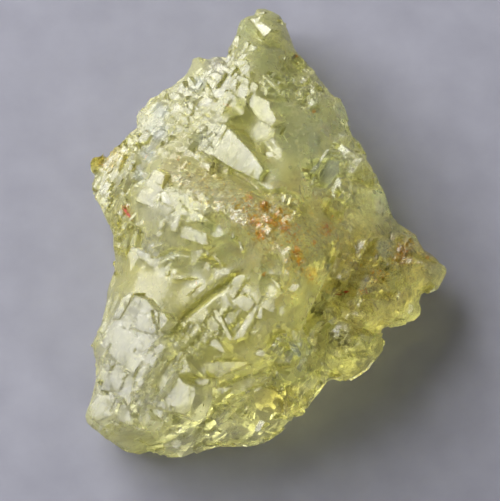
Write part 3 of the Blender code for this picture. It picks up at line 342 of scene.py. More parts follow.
# tint, strength, and the soft spots it lies in: x, y, radius on the sheet
TINT_ZONES = [
    ("olive", 0.8, [(268, 22, 20), (280, 40, 14), (245, 118, 18), (300, 60, 14), (262, 50, 12), (100, 440, 14), (140, 448, 20), (205, 352, 18), (280, 345, 12)]),
    ("green", 0.7, [(245, 30, 10), (268, 60, 16), (280, 85, 16), (285, 105, 12), (270, 180, 16), (290, 135, 14), (255, 195, 12), (225, 238, 14), (310, 205, 12), (262, 276, 12)]),
    ("yellow", 0.8, [(305, 140, 20), (300, 175, 20), (315, 200, 14), (120, 262, 18), (150, 280, 22), (190, 300, 22), (290, 300, 18), (300, 320, 16), (245, 352, 24), (210, 372, 16),
                     (100, 352, 10), (285, 395, 16), (352, 372, 16), (400, 300, 22), (420, 280, 22), (375, 340, 14), (130, 225, 16), (180, 265, 14)]),
    ("ochre", 0.75, [(178, 172, 16), (205, 185, 20), (235, 198, 20), (262, 212, 22), (290, 230, 22), (318, 240, 16), (300, 262, 16), (112, 156, 14), (100, 160, 10), (270, 240, 16), (380, 278, 12)]),
    ("rust", 0.85, [(249, 197, 5), (262, 207, 6), (256, 221, 7), (276, 222, 7), (285, 226, 6), (260, 235, 5), (297, 256, 6), (311, 274, 5), (324, 228, 5), (403, 252, 10), (126, 211, 4)]),
    ("brown", 0.5, [(352, 250, 14), (366, 262, 16), (340, 338, 12), (322, 312, 9), (335, 262, 8), (318, 340, 7), (385, 245, 10), (240, 320, 8), (184, 318, 6), (240, 440, 5), (430, 252, 8)]),
    # the blue spots at (340, 110) and (385, 202) and the mint spots at (345, 112) and (384, 198) are painted highlight:
    # pale blobs on the glassy rim
    ("blue", 0.85, [(160, 112, 9), (158, 130, 11), (148, 155, 8), (140, 175, 7), (325, 168, 14), (198, 85, 8), (385, 202, 8), (318, 145, 9), (340, 110, 8), (205, 140, 9)]),
    ("mint", 0.8, [(345, 112, 10), (384, 198, 12), (318, 130, 12), (262, 285, 8), (300, 350, 10), (170, 260, 12), (190, 268, 10)]),
    ("lilac", 0.8, [(218, 66, 9), (240, 265, 6), (363, 281, 6)]),
    # pale over the etch planes is partly frosted etch and partly a painted highlight where the planes mirror the light
    ("pale", 0.7, [(135, 345, 30), (120, 385, 26), (175, 385, 20), (150, 405, 16), (105, 418, 14), (185, 438, 18), (205, 100, 12), (185, 95, 14), (215, 130, 12), (245, 310, 22), (120, 330, 16),
                   (160, 205, 16), (150, 255, 14), (215, 88, 8), (250, 440, 16), (310, 385, 10), (140, 120, 12)]),
]

RUST = [  # x, y, radius, number of flakes
    (249, 197, 4, 20), (264, 206.5, 5, 24), (256.5, 221, 6, 30), (276, 222, 6, 30), (285, 226, 5, 20), (260, 235, 5, 21), (268, 214, 12, 33), (297, 252, 4, 20), (299, 261, 4, 16),
    (310, 274, 6, 15), (313, 244, 2, 6), (324, 226, 4, 16), (327, 234, 4, 15), (264, 274, 2, 6), (197, 283, 1.5, 3), (313.5, 110.7, 1.5, 6), (296.5, 56.6, 1.3, 3), (226, 106, 3, 6),
    (126, 208, 3, 12), (128, 215, 2.5, 9), (245, 206, 14, 21), (290, 236, 16, 27), (330, 218, 10, 10), (403, 252, 7, 30), (398, 262, 6, 20), (410, 245, 5, 10), (378, 278, 7, 18),
    (364, 290, 3, 8), (430, 252, 6, 9), (150, 160, 8, 8), (178, 159, 2, 6), (312, 297, 2, 3), (105, 160, 6, 8),
]
OCHRE = [
    (190, 178, 16, 40), (215, 192, 18, 60), (245, 205, 20, 70), (275, 222, 22, 80), (305, 240, 20, 60), (300, 265, 16, 36), (112, 160, 14, 24), (110, 200, 14, 16), (140, 225, 14, 14),
    (380, 275, 14, 30), (400, 255, 18, 36), (360, 255, 16, 24), (290, 300, 20, 16), (330, 240, 12, 20), (290, 60, 14, 10), (320, 100, 14, 12),
]
SPECKS = [(174.2, 172.8, 0.4, 1), (172.8, 132.4, 0.4, 1), (242, 261.6, 0.4, 1), (149, 205, 0.4, 1), (368, 250, 0.5, 1), (402, 246, 0.6, 1)]
NEEDLES = [(335.5, 294.8, 350.7, 290.5, 0.20), (359.4, 287, 368, 294, 0.14), (121, 204, 131, 218, 0.22), (249, 196, 252, 201, 0.16)]
VEILS = [  # x, y, radius on the sheet, depth in mm, number of flakes, turn in degrees, squash
    (300, 150, 34, 3.5, 260, 35, 0.8), (285, 110, 26, 3.0, 180, -30, 0.7), (180, 300, 34, 3.5, 220, 25, 0.7), (240, 350, 34, 3.0, 200, -20, 0.6), (140, 280, 22, 2.5, 140, 40, 0.8),
    (385, 280, 30, 2.2, 220, 15, 0.8), (350, 340, 22, 2.2, 140, -25, 0.8), (262, 40, 18, 2.5, 120, 30, 0.8), (150, 130, 22, 2.5, 140, 35, 0.8), (200, 240, 26, 4.0, 180, -35, 0.8),
    (130, 360, 30, 2.5, 160, 20, 0.8), (230, 420, 30, 1.6, 140, 30, 0.6), (310, 200, 22, 3.0, 140, 20, 0.8), (350, 160, 22, 2.5, 120, 45, 0.8),
]

# thin dark cracks: paths over the sheet
CRACKS = [
    [(310.5, 157), (312, 168), (310, 180)], [(299, 186), (300, 195)], [(331, 256), (327, 264), (326, 271)], [(332, 275), (336, 279)], [(316, 78), (322, 84), (325, 92)], [(306, 88), (312, 95)],
    [(322, 90), (326, 97)], [(357, 205), (361, 214)], [(346, 186), (350, 196)], [(285, 96), (289, 103)], [(306, 66), (309, 72)], [(386, 238), (394, 244), (402, 246)], [(408, 247), (416, 254)],
    [(344, 302), (350, 311)], [(322, 300), (314, 306)], [(246, 103), (249, 109)], [(199, 125), (203, 137), (200, 146)], [(258, 196), (268, 206), (280, 209)], [(184, 430), (196, 425), (206, 423)],
    [(112, 420), (120, 424), (128, 428)], [(396, 262), (404, 270)], [(372, 300), (378, 310)], [(420, 246), (432, 254), (440, 262)], [(300, 212), (304, 220)], [(288, 250), (292, 262)],
]
STEPS = [(0.16, 0.75), (0.30, 1.9), (0.40, 2.4)]

# flats through the skin, and thin edges that catch the light: kind, width on the sheet, path
# iron stain in the skin: x, y, radius on the sheet, strength
STAINS = [
    (200, 186, 16, 0.30), (222, 196, 18, 0.42), (248, 206, 18, 0.62), (262, 214, 16, 0.75), (280, 222, 18, 0.80), (258, 232, 12, 0.70), (300, 240, 18, 0.55), (298, 257, 10, 0.85),
    (326, 228, 10, 0.80), (310, 274, 12, 0.62), (264, 274, 4, 0.9), (104, 162, 10, 0.10), (112, 196, 10, 0.16), (127, 212, 6, 0.75), (226, 106, 6, 0.45), (313.5, 110.7, 3, 0.9),
    (296, 57, 3, 0.8), (350, 255, 22, 0.30), (378, 276, 14, 0.62), (400, 256, 14, 0.66), (404, 246, 8, 0.70), (428, 254, 10, 0.5), (197, 283, 2.5, 0.9), (330, 200, 12, 0.3),
    (312, 244, 6, 0.6), (300, 100, 14, 0.34), (360, 180, 14, 0.30), (375, 215, 14, 0.36), (150, 225, 12, 0.25), (330, 250, 12, 0.4), (290, 285, 14, 0.35), (237, 250, 8, 0.3),
]

PLANES = [
    ("chord", [[(255, 392), (262, 388), (275, 388), (281, 396), (290, 404), (290, 412), (275, 413), (257, 409), (254, 400)]]),
    ("chord", [[(279, 371), (290, 368), (308, 366), (316, 371), (316, 380), (304, 384), (290, 386), (281, 392), (275, 386), (274, 378)]]),
    ("chord", [[(297, 381), (304, 385), (312, 384), (316, 388), (306, 400), (296, 402), (291, 396), (291, 388)]]),
    ("chord", [[(291, 404), (300, 405), (306, 408), (303, 413), (292, 416), (288, 413)]]),
    ("chord", [[(206, 424), (215, 420), (232, 420), (240, 424), (236, 436), (226, 441), (208, 443), (204, 434)]]),
    ("chord", [[(237, 381), (262, 373), (278, 371), (276, 378), (262, 384), (250, 390), (238, 396), (230, 392)]]),
    ("chord", [[(226, 436), (240, 434), (254, 436), (252, 442), (240, 444), (226, 443)]]),
    ("chord", [[(205, 365), (222, 360), (245, 362), (255, 362), (240, 368), (222, 376), (207, 378)]]),
    ("chord", [[(180, 420), (195, 412), (206, 416), (200, 424), (184, 430)]]),
    ("chord", [[(313, 318), (318, 304), (325, 305), (324, 316), (319, 320)]]),
    ("chord", [[(327, 360), (345, 358), (368, 358), (360, 370), (345, 378), (333, 376)]]),
    ("chord", [[(362, 338), (374, 333), (383, 340), (384, 350), (374, 356), (366, 350)]]),
    ("chord", [[(388, 273), (398, 271), (404, 278), (402, 290), (392, 292), (387, 284)]]),
    ("chord", [[(378, 240), (390, 239), (396, 248), (393, 258), (382, 257), (377, 249)]]),
    ("chord", [[(405, 268), (420, 266), (424, 278), (416, 286), (406, 282)]]),
    ("chord", [[(424, 262), (438, 264), (441, 272), (434, 278), (425, 274)]]),
    ("chord", [[(372, 300), (388, 298), (402, 302), (404, 312), (390, 316), (374, 312)]]),
    ("chord", [[(345, 208), (360, 206), (366, 222), (352, 232), (343, 224)]]),
    ("chord", [[(337, 97), (346, 102), (350, 118), (346, 126), (338, 118), (334, 106)]]),
    ("chord", [[(372, 188), (384, 192), (388, 206), (380, 212), (373, 204)]]),
    ("chord", [[(349, 126), (358, 140), (362, 152), (352, 150), (345, 138)]]),
    ("chord", [[(290, 120), (305, 118), (312, 130), (306, 150), (292, 150), (284, 135)]]),
    ("chord", [[(309, 134), (314, 131), (319, 138), (319, 150), (313, 157), (309, 148)]]),
    ("chord", [[(333, 199), (341, 201), (341, 208), (336, 211), (332, 206)]]),
]
LIT_EDGES = [
    ("etch", 1.4, [(269.5, 349), (275, 341), (279, 335), (282, 334)]), ("dim", 1.2, [(286, 336), (290, 346), (294, 353)]),
    ("etch", 1.6, [(237, 381), (246, 377), (262, 373), (278, 371)]), ("etch", 1.5, [(278, 371), (277, 378)]), ("dim", 1.2, [(274, 377), (274, 386), (279, 392)]),
    ("etch", 1.4, [(297, 380), (291, 387), (291, 394), (294, 399)]), ("bright", 2.0, [(320, 378), (313, 392), (306, 407)]), ("etch", 1.6, [(280, 417), (292, 417), (303, 412)]),
    ("etch", 1.6, [(320, 320), (311, 329), (307.5, 339), (311, 349), (312.5, 354)]), ("dim", 1.4, [(325, 324), (326, 340), (325, 353), (324, 365)]),
    ("etch", 2.2, [(347, 317), (353, 324), (360, 334)]), ("etch", 1.6, [(318, 323), (322, 318), (325, 320)]), ("dim", 1.3, [(240, 396), (250, 390), (262, 384)]),
    ("etch", 1.3, [(152, 403), (170, 378), (187, 353)]), ("etch", 1.3, [(210, 444), (232, 444), (255, 443), (268, 439), (285, 428)]),
    ("etch", 1.3, [(100, 392), (112, 394), (120, 399), (126, 408), (132, 420)]), ("etch", 1.2, [(155, 311), (158, 323), (158, 335)]),
    ("dim", 1.4, [(350, 125), (357, 138), (362, 150)]), ("etch", 1.2, [(304, 186), (305, 196)]), ("dim", 1.2, [(168, 185), (184, 192), (200, 200)]),
    ("etch", 1.5, [(199, 316), (206, 330), (211, 337)]), ("etch", 1.5, [(196, 322), (202, 334)]),
    ("bright", 1.4, [(240, 416), (246, 406)]), ("bright", 1.4, [(243.5, 417), (249.5, 407)]), ("bright", 1.4, [(247, 418), (253, 408)]), ("etch", 1.4, [(251, 418), (256, 410)]),
    ("dim", 1.2, [(258, 384), (270, 375)]), ("dim", 1.2, [(262, 386), (274, 377)]),
    ("bright", 1.6, [(190, 446), (206, 436)]), ("bright", 1.6, [(194, 450), (210, 440)]), ("etch", 1.6, [(196, 438), (210, 430)]), ("bright", 1.5, [(150, 446), (163, 443)]), ("etch", 1.5, [(151, 451), (166, 447)]),
    ("etch", 1.6, [(314, 352), (315, 364), (317, 376)]), ("dim", 1.6, [(318, 350), (320, 362), (321, 374)]), ("etch", 1.4, [(341, 349), (349, 357), (343, 358)]),
    ("dim", 1.2, [(364, 338), (370, 334), (378, 334)]), ("etch", 1.3, [(285, 402), (282, 414)]), ("dim", 1.3, [(362, 300), (376, 297), (392, 298)]),
    ("etch", 1.2, [(232, 404), (240, 398)]), ("etch", 1.2, [(222, 398), (230, 392)]), ("dim", 1.3, [(386, 324), (398, 320)]), ("etch", 1.2, [(186, 296), (200, 284)]), ("dim", 1.2, [(110, 262), (118, 270)]),
]

# patches of tint: tint, strength, softness of the edge, outline on the sheet; the deep patches are painted shade, and
# some frost and pale patches are painted highlights
PATCHES = [
    ("leaf", 0.6, 14, [(286, 96), (312, 88), (344, 112), (356, 138), (352, 166), (334, 196), (304, 200), (284, 172), (284, 128)]),
    ("grey", 0.38, 4, [(203, 58), (230, 58), (232, 84), (205, 86)]), ("olive", 0.5, 5, [(236, 14), (276, 12), (292, 60), (284, 96), (236, 96)]),
    ("yellow", 0.62, 8, [(112, 260), (195, 258), (198, 296), (180, 304), (120, 304)]), ("yellow", 0.35, 8, [(198, 262), (262, 262), (266, 298), (200, 300)]),
    ("pale", 0.45, 8, [(122, 214), (180, 214), (182, 250), (150, 254), (122, 246)]),
    # frost over the lower left etch planes: partly frosted etch, partly a painted highlight where the planes mirror the
    # light
    ("frost", 0.45, 5, [(96, 352), (110, 318), (128, 292), (150, 298), (172, 324), (160, 350), (176, 372), (182, 400), (170, 420), (140, 424), (104, 420), (92, 400), (100, 380)]),
    ("amber", 0.42, 8, [(352, 228), (384, 230), (412, 244), (438, 264), (428, 284), (402, 310), (380, 328), (352, 334), (344, 300), (346, 262)]),
    ("yellow", 0.5, 8, [(206, 226), (240, 226), (244, 262), (222, 270), (204, 258)]),
    ("yellow", 0.75, 8, [(296, 200), (340, 200), (344, 226), (338, 256), (316, 262), (298, 246)]),
    ("ochre", 0.40, 9, [(296, 206), (330, 204), (350, 222), (380, 226), (410, 240), (436, 262), (430, 282), (404, 312), (380, 330), (350, 338), (332, 318), (328, 286), (318, 258), (300, 240)]),
    ("dusk", 0.62, 4, [(262, 385), (280, 382), (300, 385), (312, 392), (302, 408), (280, 412), (262, 408)]),
    # the frost and mint patches on the next line paint a highlight blob on the glassy rim, and the deep patch beside it
    # is painted shade
    ("frost", 0.8, 2, [(374, 204), (384, 205), (386, 213), (378, 215)]), ("mint", 0.7, 3, [(373, 189), (384, 192), (390, 205), (382, 204), (374, 200)]), ("deep", 0.7, 2, [(370, 196), (374, 194), (376, 203), (373, 206)]),
    ("yellow", 0.5, 6, [(290, 250), (326, 246), (336, 250), (332, 262), (324, 284), (318, 300), (300, 312), (286, 296), (284, 268)]),
    ("straw", 0.55, 14, [(166, 166), (196, 172), (222, 182), (250, 196), (282, 210), (300, 226), (296, 240), (262, 232), (236, 222), (205, 204), (180, 190), (166, 180)]),
    ("mint", 0.35, 16, [(300, 90), (326, 98), (344, 112), (356, 138), (350, 160), (330, 190), (306, 196), (290, 170), (288, 130)]),
    ("pale", 0.4, 10, [(345, 130), (362, 150), (380, 186), (372, 196), (352, 176), (342, 150)]),
    ("yellow", 0.45, 12, [(232, 262), (262, 262), (290, 285), (300, 318), (280, 340), (246, 342), (226, 322), (216, 296)]),
    ("olive", 0.5, 8, [(205, 292), (222, 278), (243, 270), (240, 280), (222, 294), (205, 310), (190, 326), (180, 340), (172, 340), (178, 322), (190, 304)]),
    ("dusk", 0.42, 2.5, [(340, 216), (352, 222), (366, 228), (378, 240), (384, 262), (376, 292), (352, 292), (336, 288), (326, 284), (331, 272), (327, 262), (333, 250), (338, 237)]),
    ("amber", 0.2, 8, [(344, 232), (360, 230), (374, 246), (376, 268), (360, 280), (344, 272), (338, 254)]), ("pale", 0.6, 2.5, [(346, 222), (352, 223), (352, 232), (347, 231)]),
    # the pale patch at (375, 205) is a painted highlight on the glassy rim
    ("pale", 0.5, 3, [(350, 268), (361, 270), (361, 284), (352, 284)]), ("pale", 0.6, 2.5, [(375, 205), (382, 206), (383, 213), (377, 214)]), ("pale", 0.7, 3, [(325, 307), (333, 307), (335, 318), (328, 322), (325, 316)]),
    # every deep patch from here to the end of the table is painted shade: dark see-through flats, slots and creases
    ("pale", 0.6, 3, [(322, 280), (330, 278), (336, 290), (336, 300), (326, 302), (322, 292)]), ("deep", 0.5, 2.5, [(372, 224), (384, 226), (392, 236), (388, 238), (378, 232)]),
    ("deep", 0.6, 2.5, [(313, 318), (318, 304), (325, 305), (324, 316), (319, 320)]),
    ("deep", 0.48, 4, [(325, 325), (342, 323), (352, 328), (350, 336), (340, 345), (333, 348), (326, 343)]), ("grey", 0.6, 4, [(334, 331), (345, 329), (346, 335), (337, 338)]),
    ("deep", 0.9, 2.5, [(326, 257), (331, 256), (333, 266), (329, 272), (325, 268)]), ("deep", 0.9, 2, [(335.5, 277), (339, 279), (339.5, 288), (336.5, 288)]),
    ("deep", 0.7, 3, [(378, 261), (386, 262), (393, 269), (388, 271), (380, 267)]), ("deep", 0.7, 2.5, [(406, 253), (418, 254), (419, 258), (408, 257)]),
    ("amber", 0.75, 5, [(369, 274), (384, 273), (388, 282), (378, 291), (369, 287)]), ("deep", 0.85, 2.5, [(333, 199), (341, 201), (341, 208), (336, 211), (332, 206)]),
    ("mint", 0.8, 3, [(309, 134), (314, 131), (319, 138), (319, 150), (313, 157), (309, 148)]), ("deep", 0.6, 2, [(318, 132), (321, 137), (321, 150), (318.5, 151)]),
    ("deep", 0.55, 2.5, [(314, 174), (328, 152), (331, 153), (316, 178)]), ("blue", 0.7, 3, [(318, 183), (328, 162), (338, 162), (340, 172), (330, 188)]),
    ("deep", 0.6, 3, [(226, 437), (240, 434), (254, 436), (252, 441), (238, 443), (227, 442)]), ("deep", 0.7, 2.5, [(249, 425), (258, 425), (257, 431), (250, 431)]),
    ("deep", 0.75, 4, [(279, 371), (290, 368), (308, 366), (316, 371), (316, 380), (304, 384), (290, 386), (281, 392), (275, 386), (274, 378)]),
    ("amber", 0.55, 4, [(255, 392), (262, 388), (275, 388), (281, 396), (290, 404), (290, 412), (275, 413), (257, 409), (254, 400)]),
    ("yellow", 0.8, 3, [(291, 404), (300, 405), (306, 408), (303, 413), (292, 416), (288, 413)]), ("deep", 0.8, 3, [(170, 412), (178, 414), (181, 424), (174, 424)]),
    ("deep", 0.55, 4, [(152, 442), (180, 434), (202, 424), (212, 420), (212, 424), (200, 430), (180, 440), (154, 446)]),
    ("green", 0.5, 8, [(213, 230), (232, 232), (238, 262), (222, 258), (213, 244)]), ("olive", 0.8, 5, [(218, 303), (230, 303), (238, 310), (243, 325), (236, 338), (226, 330), (219, 318)]),
    ("deep", 0.65, 3, [(215, 292), (222, 284), (232, 278), (232, 282), (222, 292)]), ("deep", 0.55, 4, [(270, 72), (278, 74), (281, 82), (274, 82)]), ("deep", 0.65, 2.5, [(255, 93), (262, 93), (270, 98), (268, 99.5)]),
    # olive patch down the trough beside the large etch face: partly the trough's olive tone, partly painted shade in
    # the trough
    ("olive", 0.75, 8, [(224, 108), (236, 104), (246, 112), (254, 125), (262, 140), (268, 160), (262, 165), (250, 148), (236, 132), (226, 120)]),
    ("green", 0.6, 4, [(197, 222), (213, 222), (216, 229), (206, 232), (198, 228)]), ("mint", 0.7, 5, [(378, 240), (390, 239), (396, 248), (393, 258), (382, 257), (377, 249)]),
    ("lime", 0.8, 5, [(388, 273), (398, 271), (404, 278), (402, 290), (392, 292), (387, 284)]), ("lime", 0.6, 5, [(362, 338), (374, 333), (383, 340), (384, 350), (374, 356), (366, 350)]),
    ("yellow", 0.7, 4, [(327, 360), (345, 358), (368, 358), (360, 370), (345, 378), (333, 376)]), ("lilac", 0.8, 3, [(360, 285), (364, 277), (369, 275), (368, 281), (364, 286), (357, 294)]),
    ("grey", 0.5, 5, [(424, 264), (438, 265), (440, 274), (428, 276)]), ("brown", 0.6, 4, [(398, 244), (412, 243), (416, 256), (412, 266), (400, 266), (396, 256)]),
    ("brown", 0.6, 3, [(418, 240), (441, 258), (440, 263), (418, 246)]), ("pale", 0.6, 4, [(206, 424), (215, 420), (232, 420), (240, 424), (236, 436), (226, 441), (208, 443), (204, 434)]),
    ("rust", 0.8, 4, [(320, 221), (327, 220), (329, 236), (323, 236)]), ("rust", 0.95, 3, [(294, 250), (299, 250), (304, 262), (302, 267), (297, 264)]), ("rust", 0.6, 5, [(304, 270), (318, 270), (314, 281), (307, 281)]),
    ("rust", 0.7, 3, [(311, 242), (315, 242), (315, 248), (312, 248)]), ("rust", 0.8, 4, [(252, 216), (262, 213), (268, 220), (262, 226), (253, 224)]), ("rust", 0.8, 4, [(270, 218), (288, 222), (290, 230), (276, 228)]),
    ("rust", 0.7, 3, [(256, 232), (266, 231), (266, 238), (257, 239)]), ("rust", 0.7, 3, [(246, 194), (252, 193), (253, 200), (247, 201)]), ("rust", 0.7, 3, [(260, 203), (267, 202), (269, 210), (262, 211)]),
]

LOOK = {
    "transmission": 0.80, "absorb": (0.95, 0.94, 0.50), "density": 67.0, "micro": 0.00019,
    "floor": ((0.265, 0.268, 0.322), (0.305, 0.308, 0.368)),
    "box_size": 0.37, "box_power": 2.0, "card_way": (0.50, -0.82, 0.12), "card_size": 0.5, "card_power": 4.9, "lamp_size": 0.07, "lamp_power": 0.4, "wide_way": (-0.635, 0.535, 0.56), "wide_far": 0.28, "wide_size": 0.30, "wide_power": 1.52,
    "wide_colour": (1.0, 0.99, 0.97), "box_colour": (1.0, 0.995, 0.97),
    "walls": (0.74, 0.72, 0.68), "ceiling": (0.07, 0.068, 0.072), "clamp": 20.0,
}


def unit(v):
    v = np.asarray(v, float)
    return v / np.linalg.norm(v)


def turn(axis, angle):
    a = unit(axis)
    k = np.array([[0, -a[2], a[1]], [a[2], 0, -a[0]], [-a[1], a[0], 0]])
    return np.eye(3) + math.sin(angle) * k + (1 - math.cos(angle)) * k @ k


def turn_to(n, goal, degrees):
    """The normal n leaned towards goal by so many degrees."""
    return turn(np.cross(n, goal), math.radians(degrees)) @ n


C_FLAT = math.cos(math.radians(60)) * RIGHT + math.sin(math.radians(60)) * UP
C_AXIS = unit(math.cos(math.radians(6)) * C_FLAT + math.sin(math.radians(6)) * OUT)
C_OUT = unit(OUT - (OUT @ C_AXIS) * C_AXIS)
C_SIDE = unit(np.cross(C_AXIS, C_OUT))
if C_SIDE @ RIGHT < 0:
    C_SIDE = -C_SIDE


def prism_normal(degrees):
    """A face parallel to the long axis, turned from straight out towards the upper left."""
    a = math.radians(degrees)
    return math.cos(a) * C_OUT - math.sin(a) * C_SIDE


ETCH = prism_normal(25)
LATTICE = np.array([ETCH, unit(np.cross(C_AXIS, ETCH)), C_AXIS])
HEX = [prism_normal(25), prism_normal(-35), prism_normal(85)]
PLANE_KINDS = {
    "etch": ETCH,
    "dim": turn_to(ETCH, OUT, -7.5),
    "bright": turn_to(ETCH, C_AXIS, 5.0),
    "glass": turn_to(ETCH, OUT, 16.0),
    "east": prism_normal(-35),
    "flat": prism_normal(0),
    "lean": prism_normal(-12),
    "south": unit(-C_AXIS * 0.62 + C_OUT * 0.78),
    "north": unit(C_AXIS * 0.62 + C_OUT * 0.78),
    "west": prism_normal(55),
}


def sight(x, y):
    return -OUT * EYE_DIST + RIGHT * (x - 250.0) * UNIT + UP * (250.5 - y) * UNIT


def at_height(x, y, z):
    r = sight(x, y)
    return EYE + r * ((z - EYE[2]) / r[2])


def to_sheet(p):
    q = p - EYE
    s = EYE_DIST / -(q @ OUT) / UNIT
    return 250.0 + (q @ RIGHT) * s, 250.5 - (q @ UP) * s


# ---- maps over the sheet --------------------------------------------------------------------------------------
class Sheet:
    """Maps over the drawing sheet, one value a drawing unit."""

    def __init__(self):
        self.xs, self.ys = np.arange(60.0, 471.0), np.arange(-12.0, 483.0)
        self.X, self.Y = np.meshgrid(self.xs, self.ys, indexing="ij")

    def read(self, m, x, y):
        fx = np.clip(x - self.xs[0], 0, len(self.xs) - 1.001)
        fy = np.clip(y - self.ys[0], 0, len(self.ys) - 1.001)
        i, j = np.asarray(fx).astype(np.int32), np.asarray(fy).astype(np.int32)
        fx, fy = fx - i, fy - j
        return m[i, j] * (1 - fx) * (1 - fy) + m[i + 1, j] * fx * (1 - fy) + m[i, j + 1] * (1 - fx) * fy + m[i + 1, j + 1] * fx * fy

    def silhouette(self):
        a = np.array(SILHOUETTE)
        near = np.full(self.X.shape, 1e9)
        inside = np.zeros(self.X.shape, bool)
        ws, hs = np.zeros(self.X.shape), np.zeros(self.X.shape)
        for p, q in zip(a, np.roll(a, -1, axis=0)):
            dx, dy = q[0] - p[0], q[1] - p[1]
            t = np.clip(((self.X - p[0]) * dx + (self.Y - p[1]) * dy) / (dx * dx + dy * dy), 0, 1)
            d2 = (self.X - p[0] - t * dx) ** 2 + (self.Y - p[1] - t * dy) ** 2
            near = np.minimum(near, d2)
            w = math.hypot(dx, dy) / (d2 + 9.0) ** 2
            ws += w
            hs += w * (p[2] + t * (q[2] - p[2]))
            if dy:
                inside ^= ((p[1] > self.Y) != (q[1] > self.Y)) & (self.X < p[0] + (self.Y - p[1]) * dx / dy)
        near = np.sqrt(near) * UNIT
        return np.where(inside, near, -near), hs / ws

    def plate(self, spots):
        def bend(r2):
            return np.where(r2 > 0, r2 * np.log(r2 + 1e-12), 0)

        pts = np.array([(x, y) for x, y, _ in spots]) / 50.0
        hs = np.array([h for _, _, h in spots])
        n = len(pts)
        k = bend(((pts[:, None] - pts[None]) ** 2).sum(2)) + np.eye(n) * 0.002
        p = np.c_[np.ones(n), pts]
        m = np.zeros((n + 3, n + 3))
        m[:n, :n], m[:n, n:], m[n:, :n] = k, p, p.T
        w = np.linalg.solve(m, np.r_[hs, 0, 0, 0])
        out = w[n] + w[n + 1] * self.X / 50 + w[n + 2] * self.Y / 50
        for (x, y), c in zip(pts, w[:n]):
            out += c * bend((self.X / 50 - x) ** 2 + (self.Y / 50 - y) ** 2)
        return out

    def to_line(self, path):
        """Distance to a polyline in drawing units, and the share of the way along it."""
        near, along = np.full(self.X.shape, 1e9), np.zeros(self.X.shape)
        n = len(path) - 1
        for i, (p, q) in enumerate(zip(path, path[1:])):
            dx, dy = q[0] - p[0], q[1] - p[1]
            t = np.clip(((self.X - p[0]) * dx + (self.Y - p[1]) * dy) / (dx * dx + dy * dy), 0, 1)
            d = np.hypot(self.X - p[0] - t * dx, self.Y - p[1] - t * dy)
            m = d < near
            near = np.where(m, d, near)
            along = np.where(m, (i + t) / n, along)
        return near, along

    def zone(self, spots):
        """0 to 1, soft-edged, over the union of (x, y, radius) spots."""
        out = np.zeros(self.X.shape)
        for x, y, r in spots:
            t = np.clip(1.35 - np.hypot(self.X - x, self.Y - y) / r, 0, 1) / 0.7
            t = np.clip(t, 0, 1)
            out = np.maximum(out, t * t * (3 - 2 * t))
        return out


def smooth_noise(P, scale, seed, octaves=3):
    """Repeatable value noise over points in mm, -1 to 1."""
    rng = np.random.default_rng(seed)
    G = 24
    out = np.zeros(P.shape[:-1], np.float32)
    amp, total = 1.0, 0.0
    for o in range(octaves):
        g = rng.random((G, G, G)).astype(np.float32) * 2 - 1
        q = (P / (scale / 2**o) + rng.random(3) * G).astype(np.float32)
        i = np.floor(q).astype(np.int32)
        f = q - i
        f = f * f * (3 - 2 * f)
        i %= G
        j = (i + 1) % G
        ix, iy, iz, jx, jy, jz = i[..., 0], i[..., 1], i[..., 2], j[..., 0], j[..., 1], j[..., 2]
        fx, fy, fz = f[..., 0], f[..., 1], f[..., 2]
        a = g[ix, iy, iz] * (1 - fx) + g[jx, iy, iz] * fx
        b = g[ix, jy, iz] * (1 - fx) + g[jx, jy, iz] * fx
        c = g[ix, iy, jz] * (1 - fx) + g[jx, iy, jz] * fx
        d = g[ix, jy, jz] * (1 - fx) + g[jx, jy, jz] * fx
        a = a * (1 - fy) + b * fy
        c = c * (1 - fy) + d * fy
        out += amp * (a * (1 - fz) + c * fz)
        total += amp
        amp *= 0.5
    return out / total


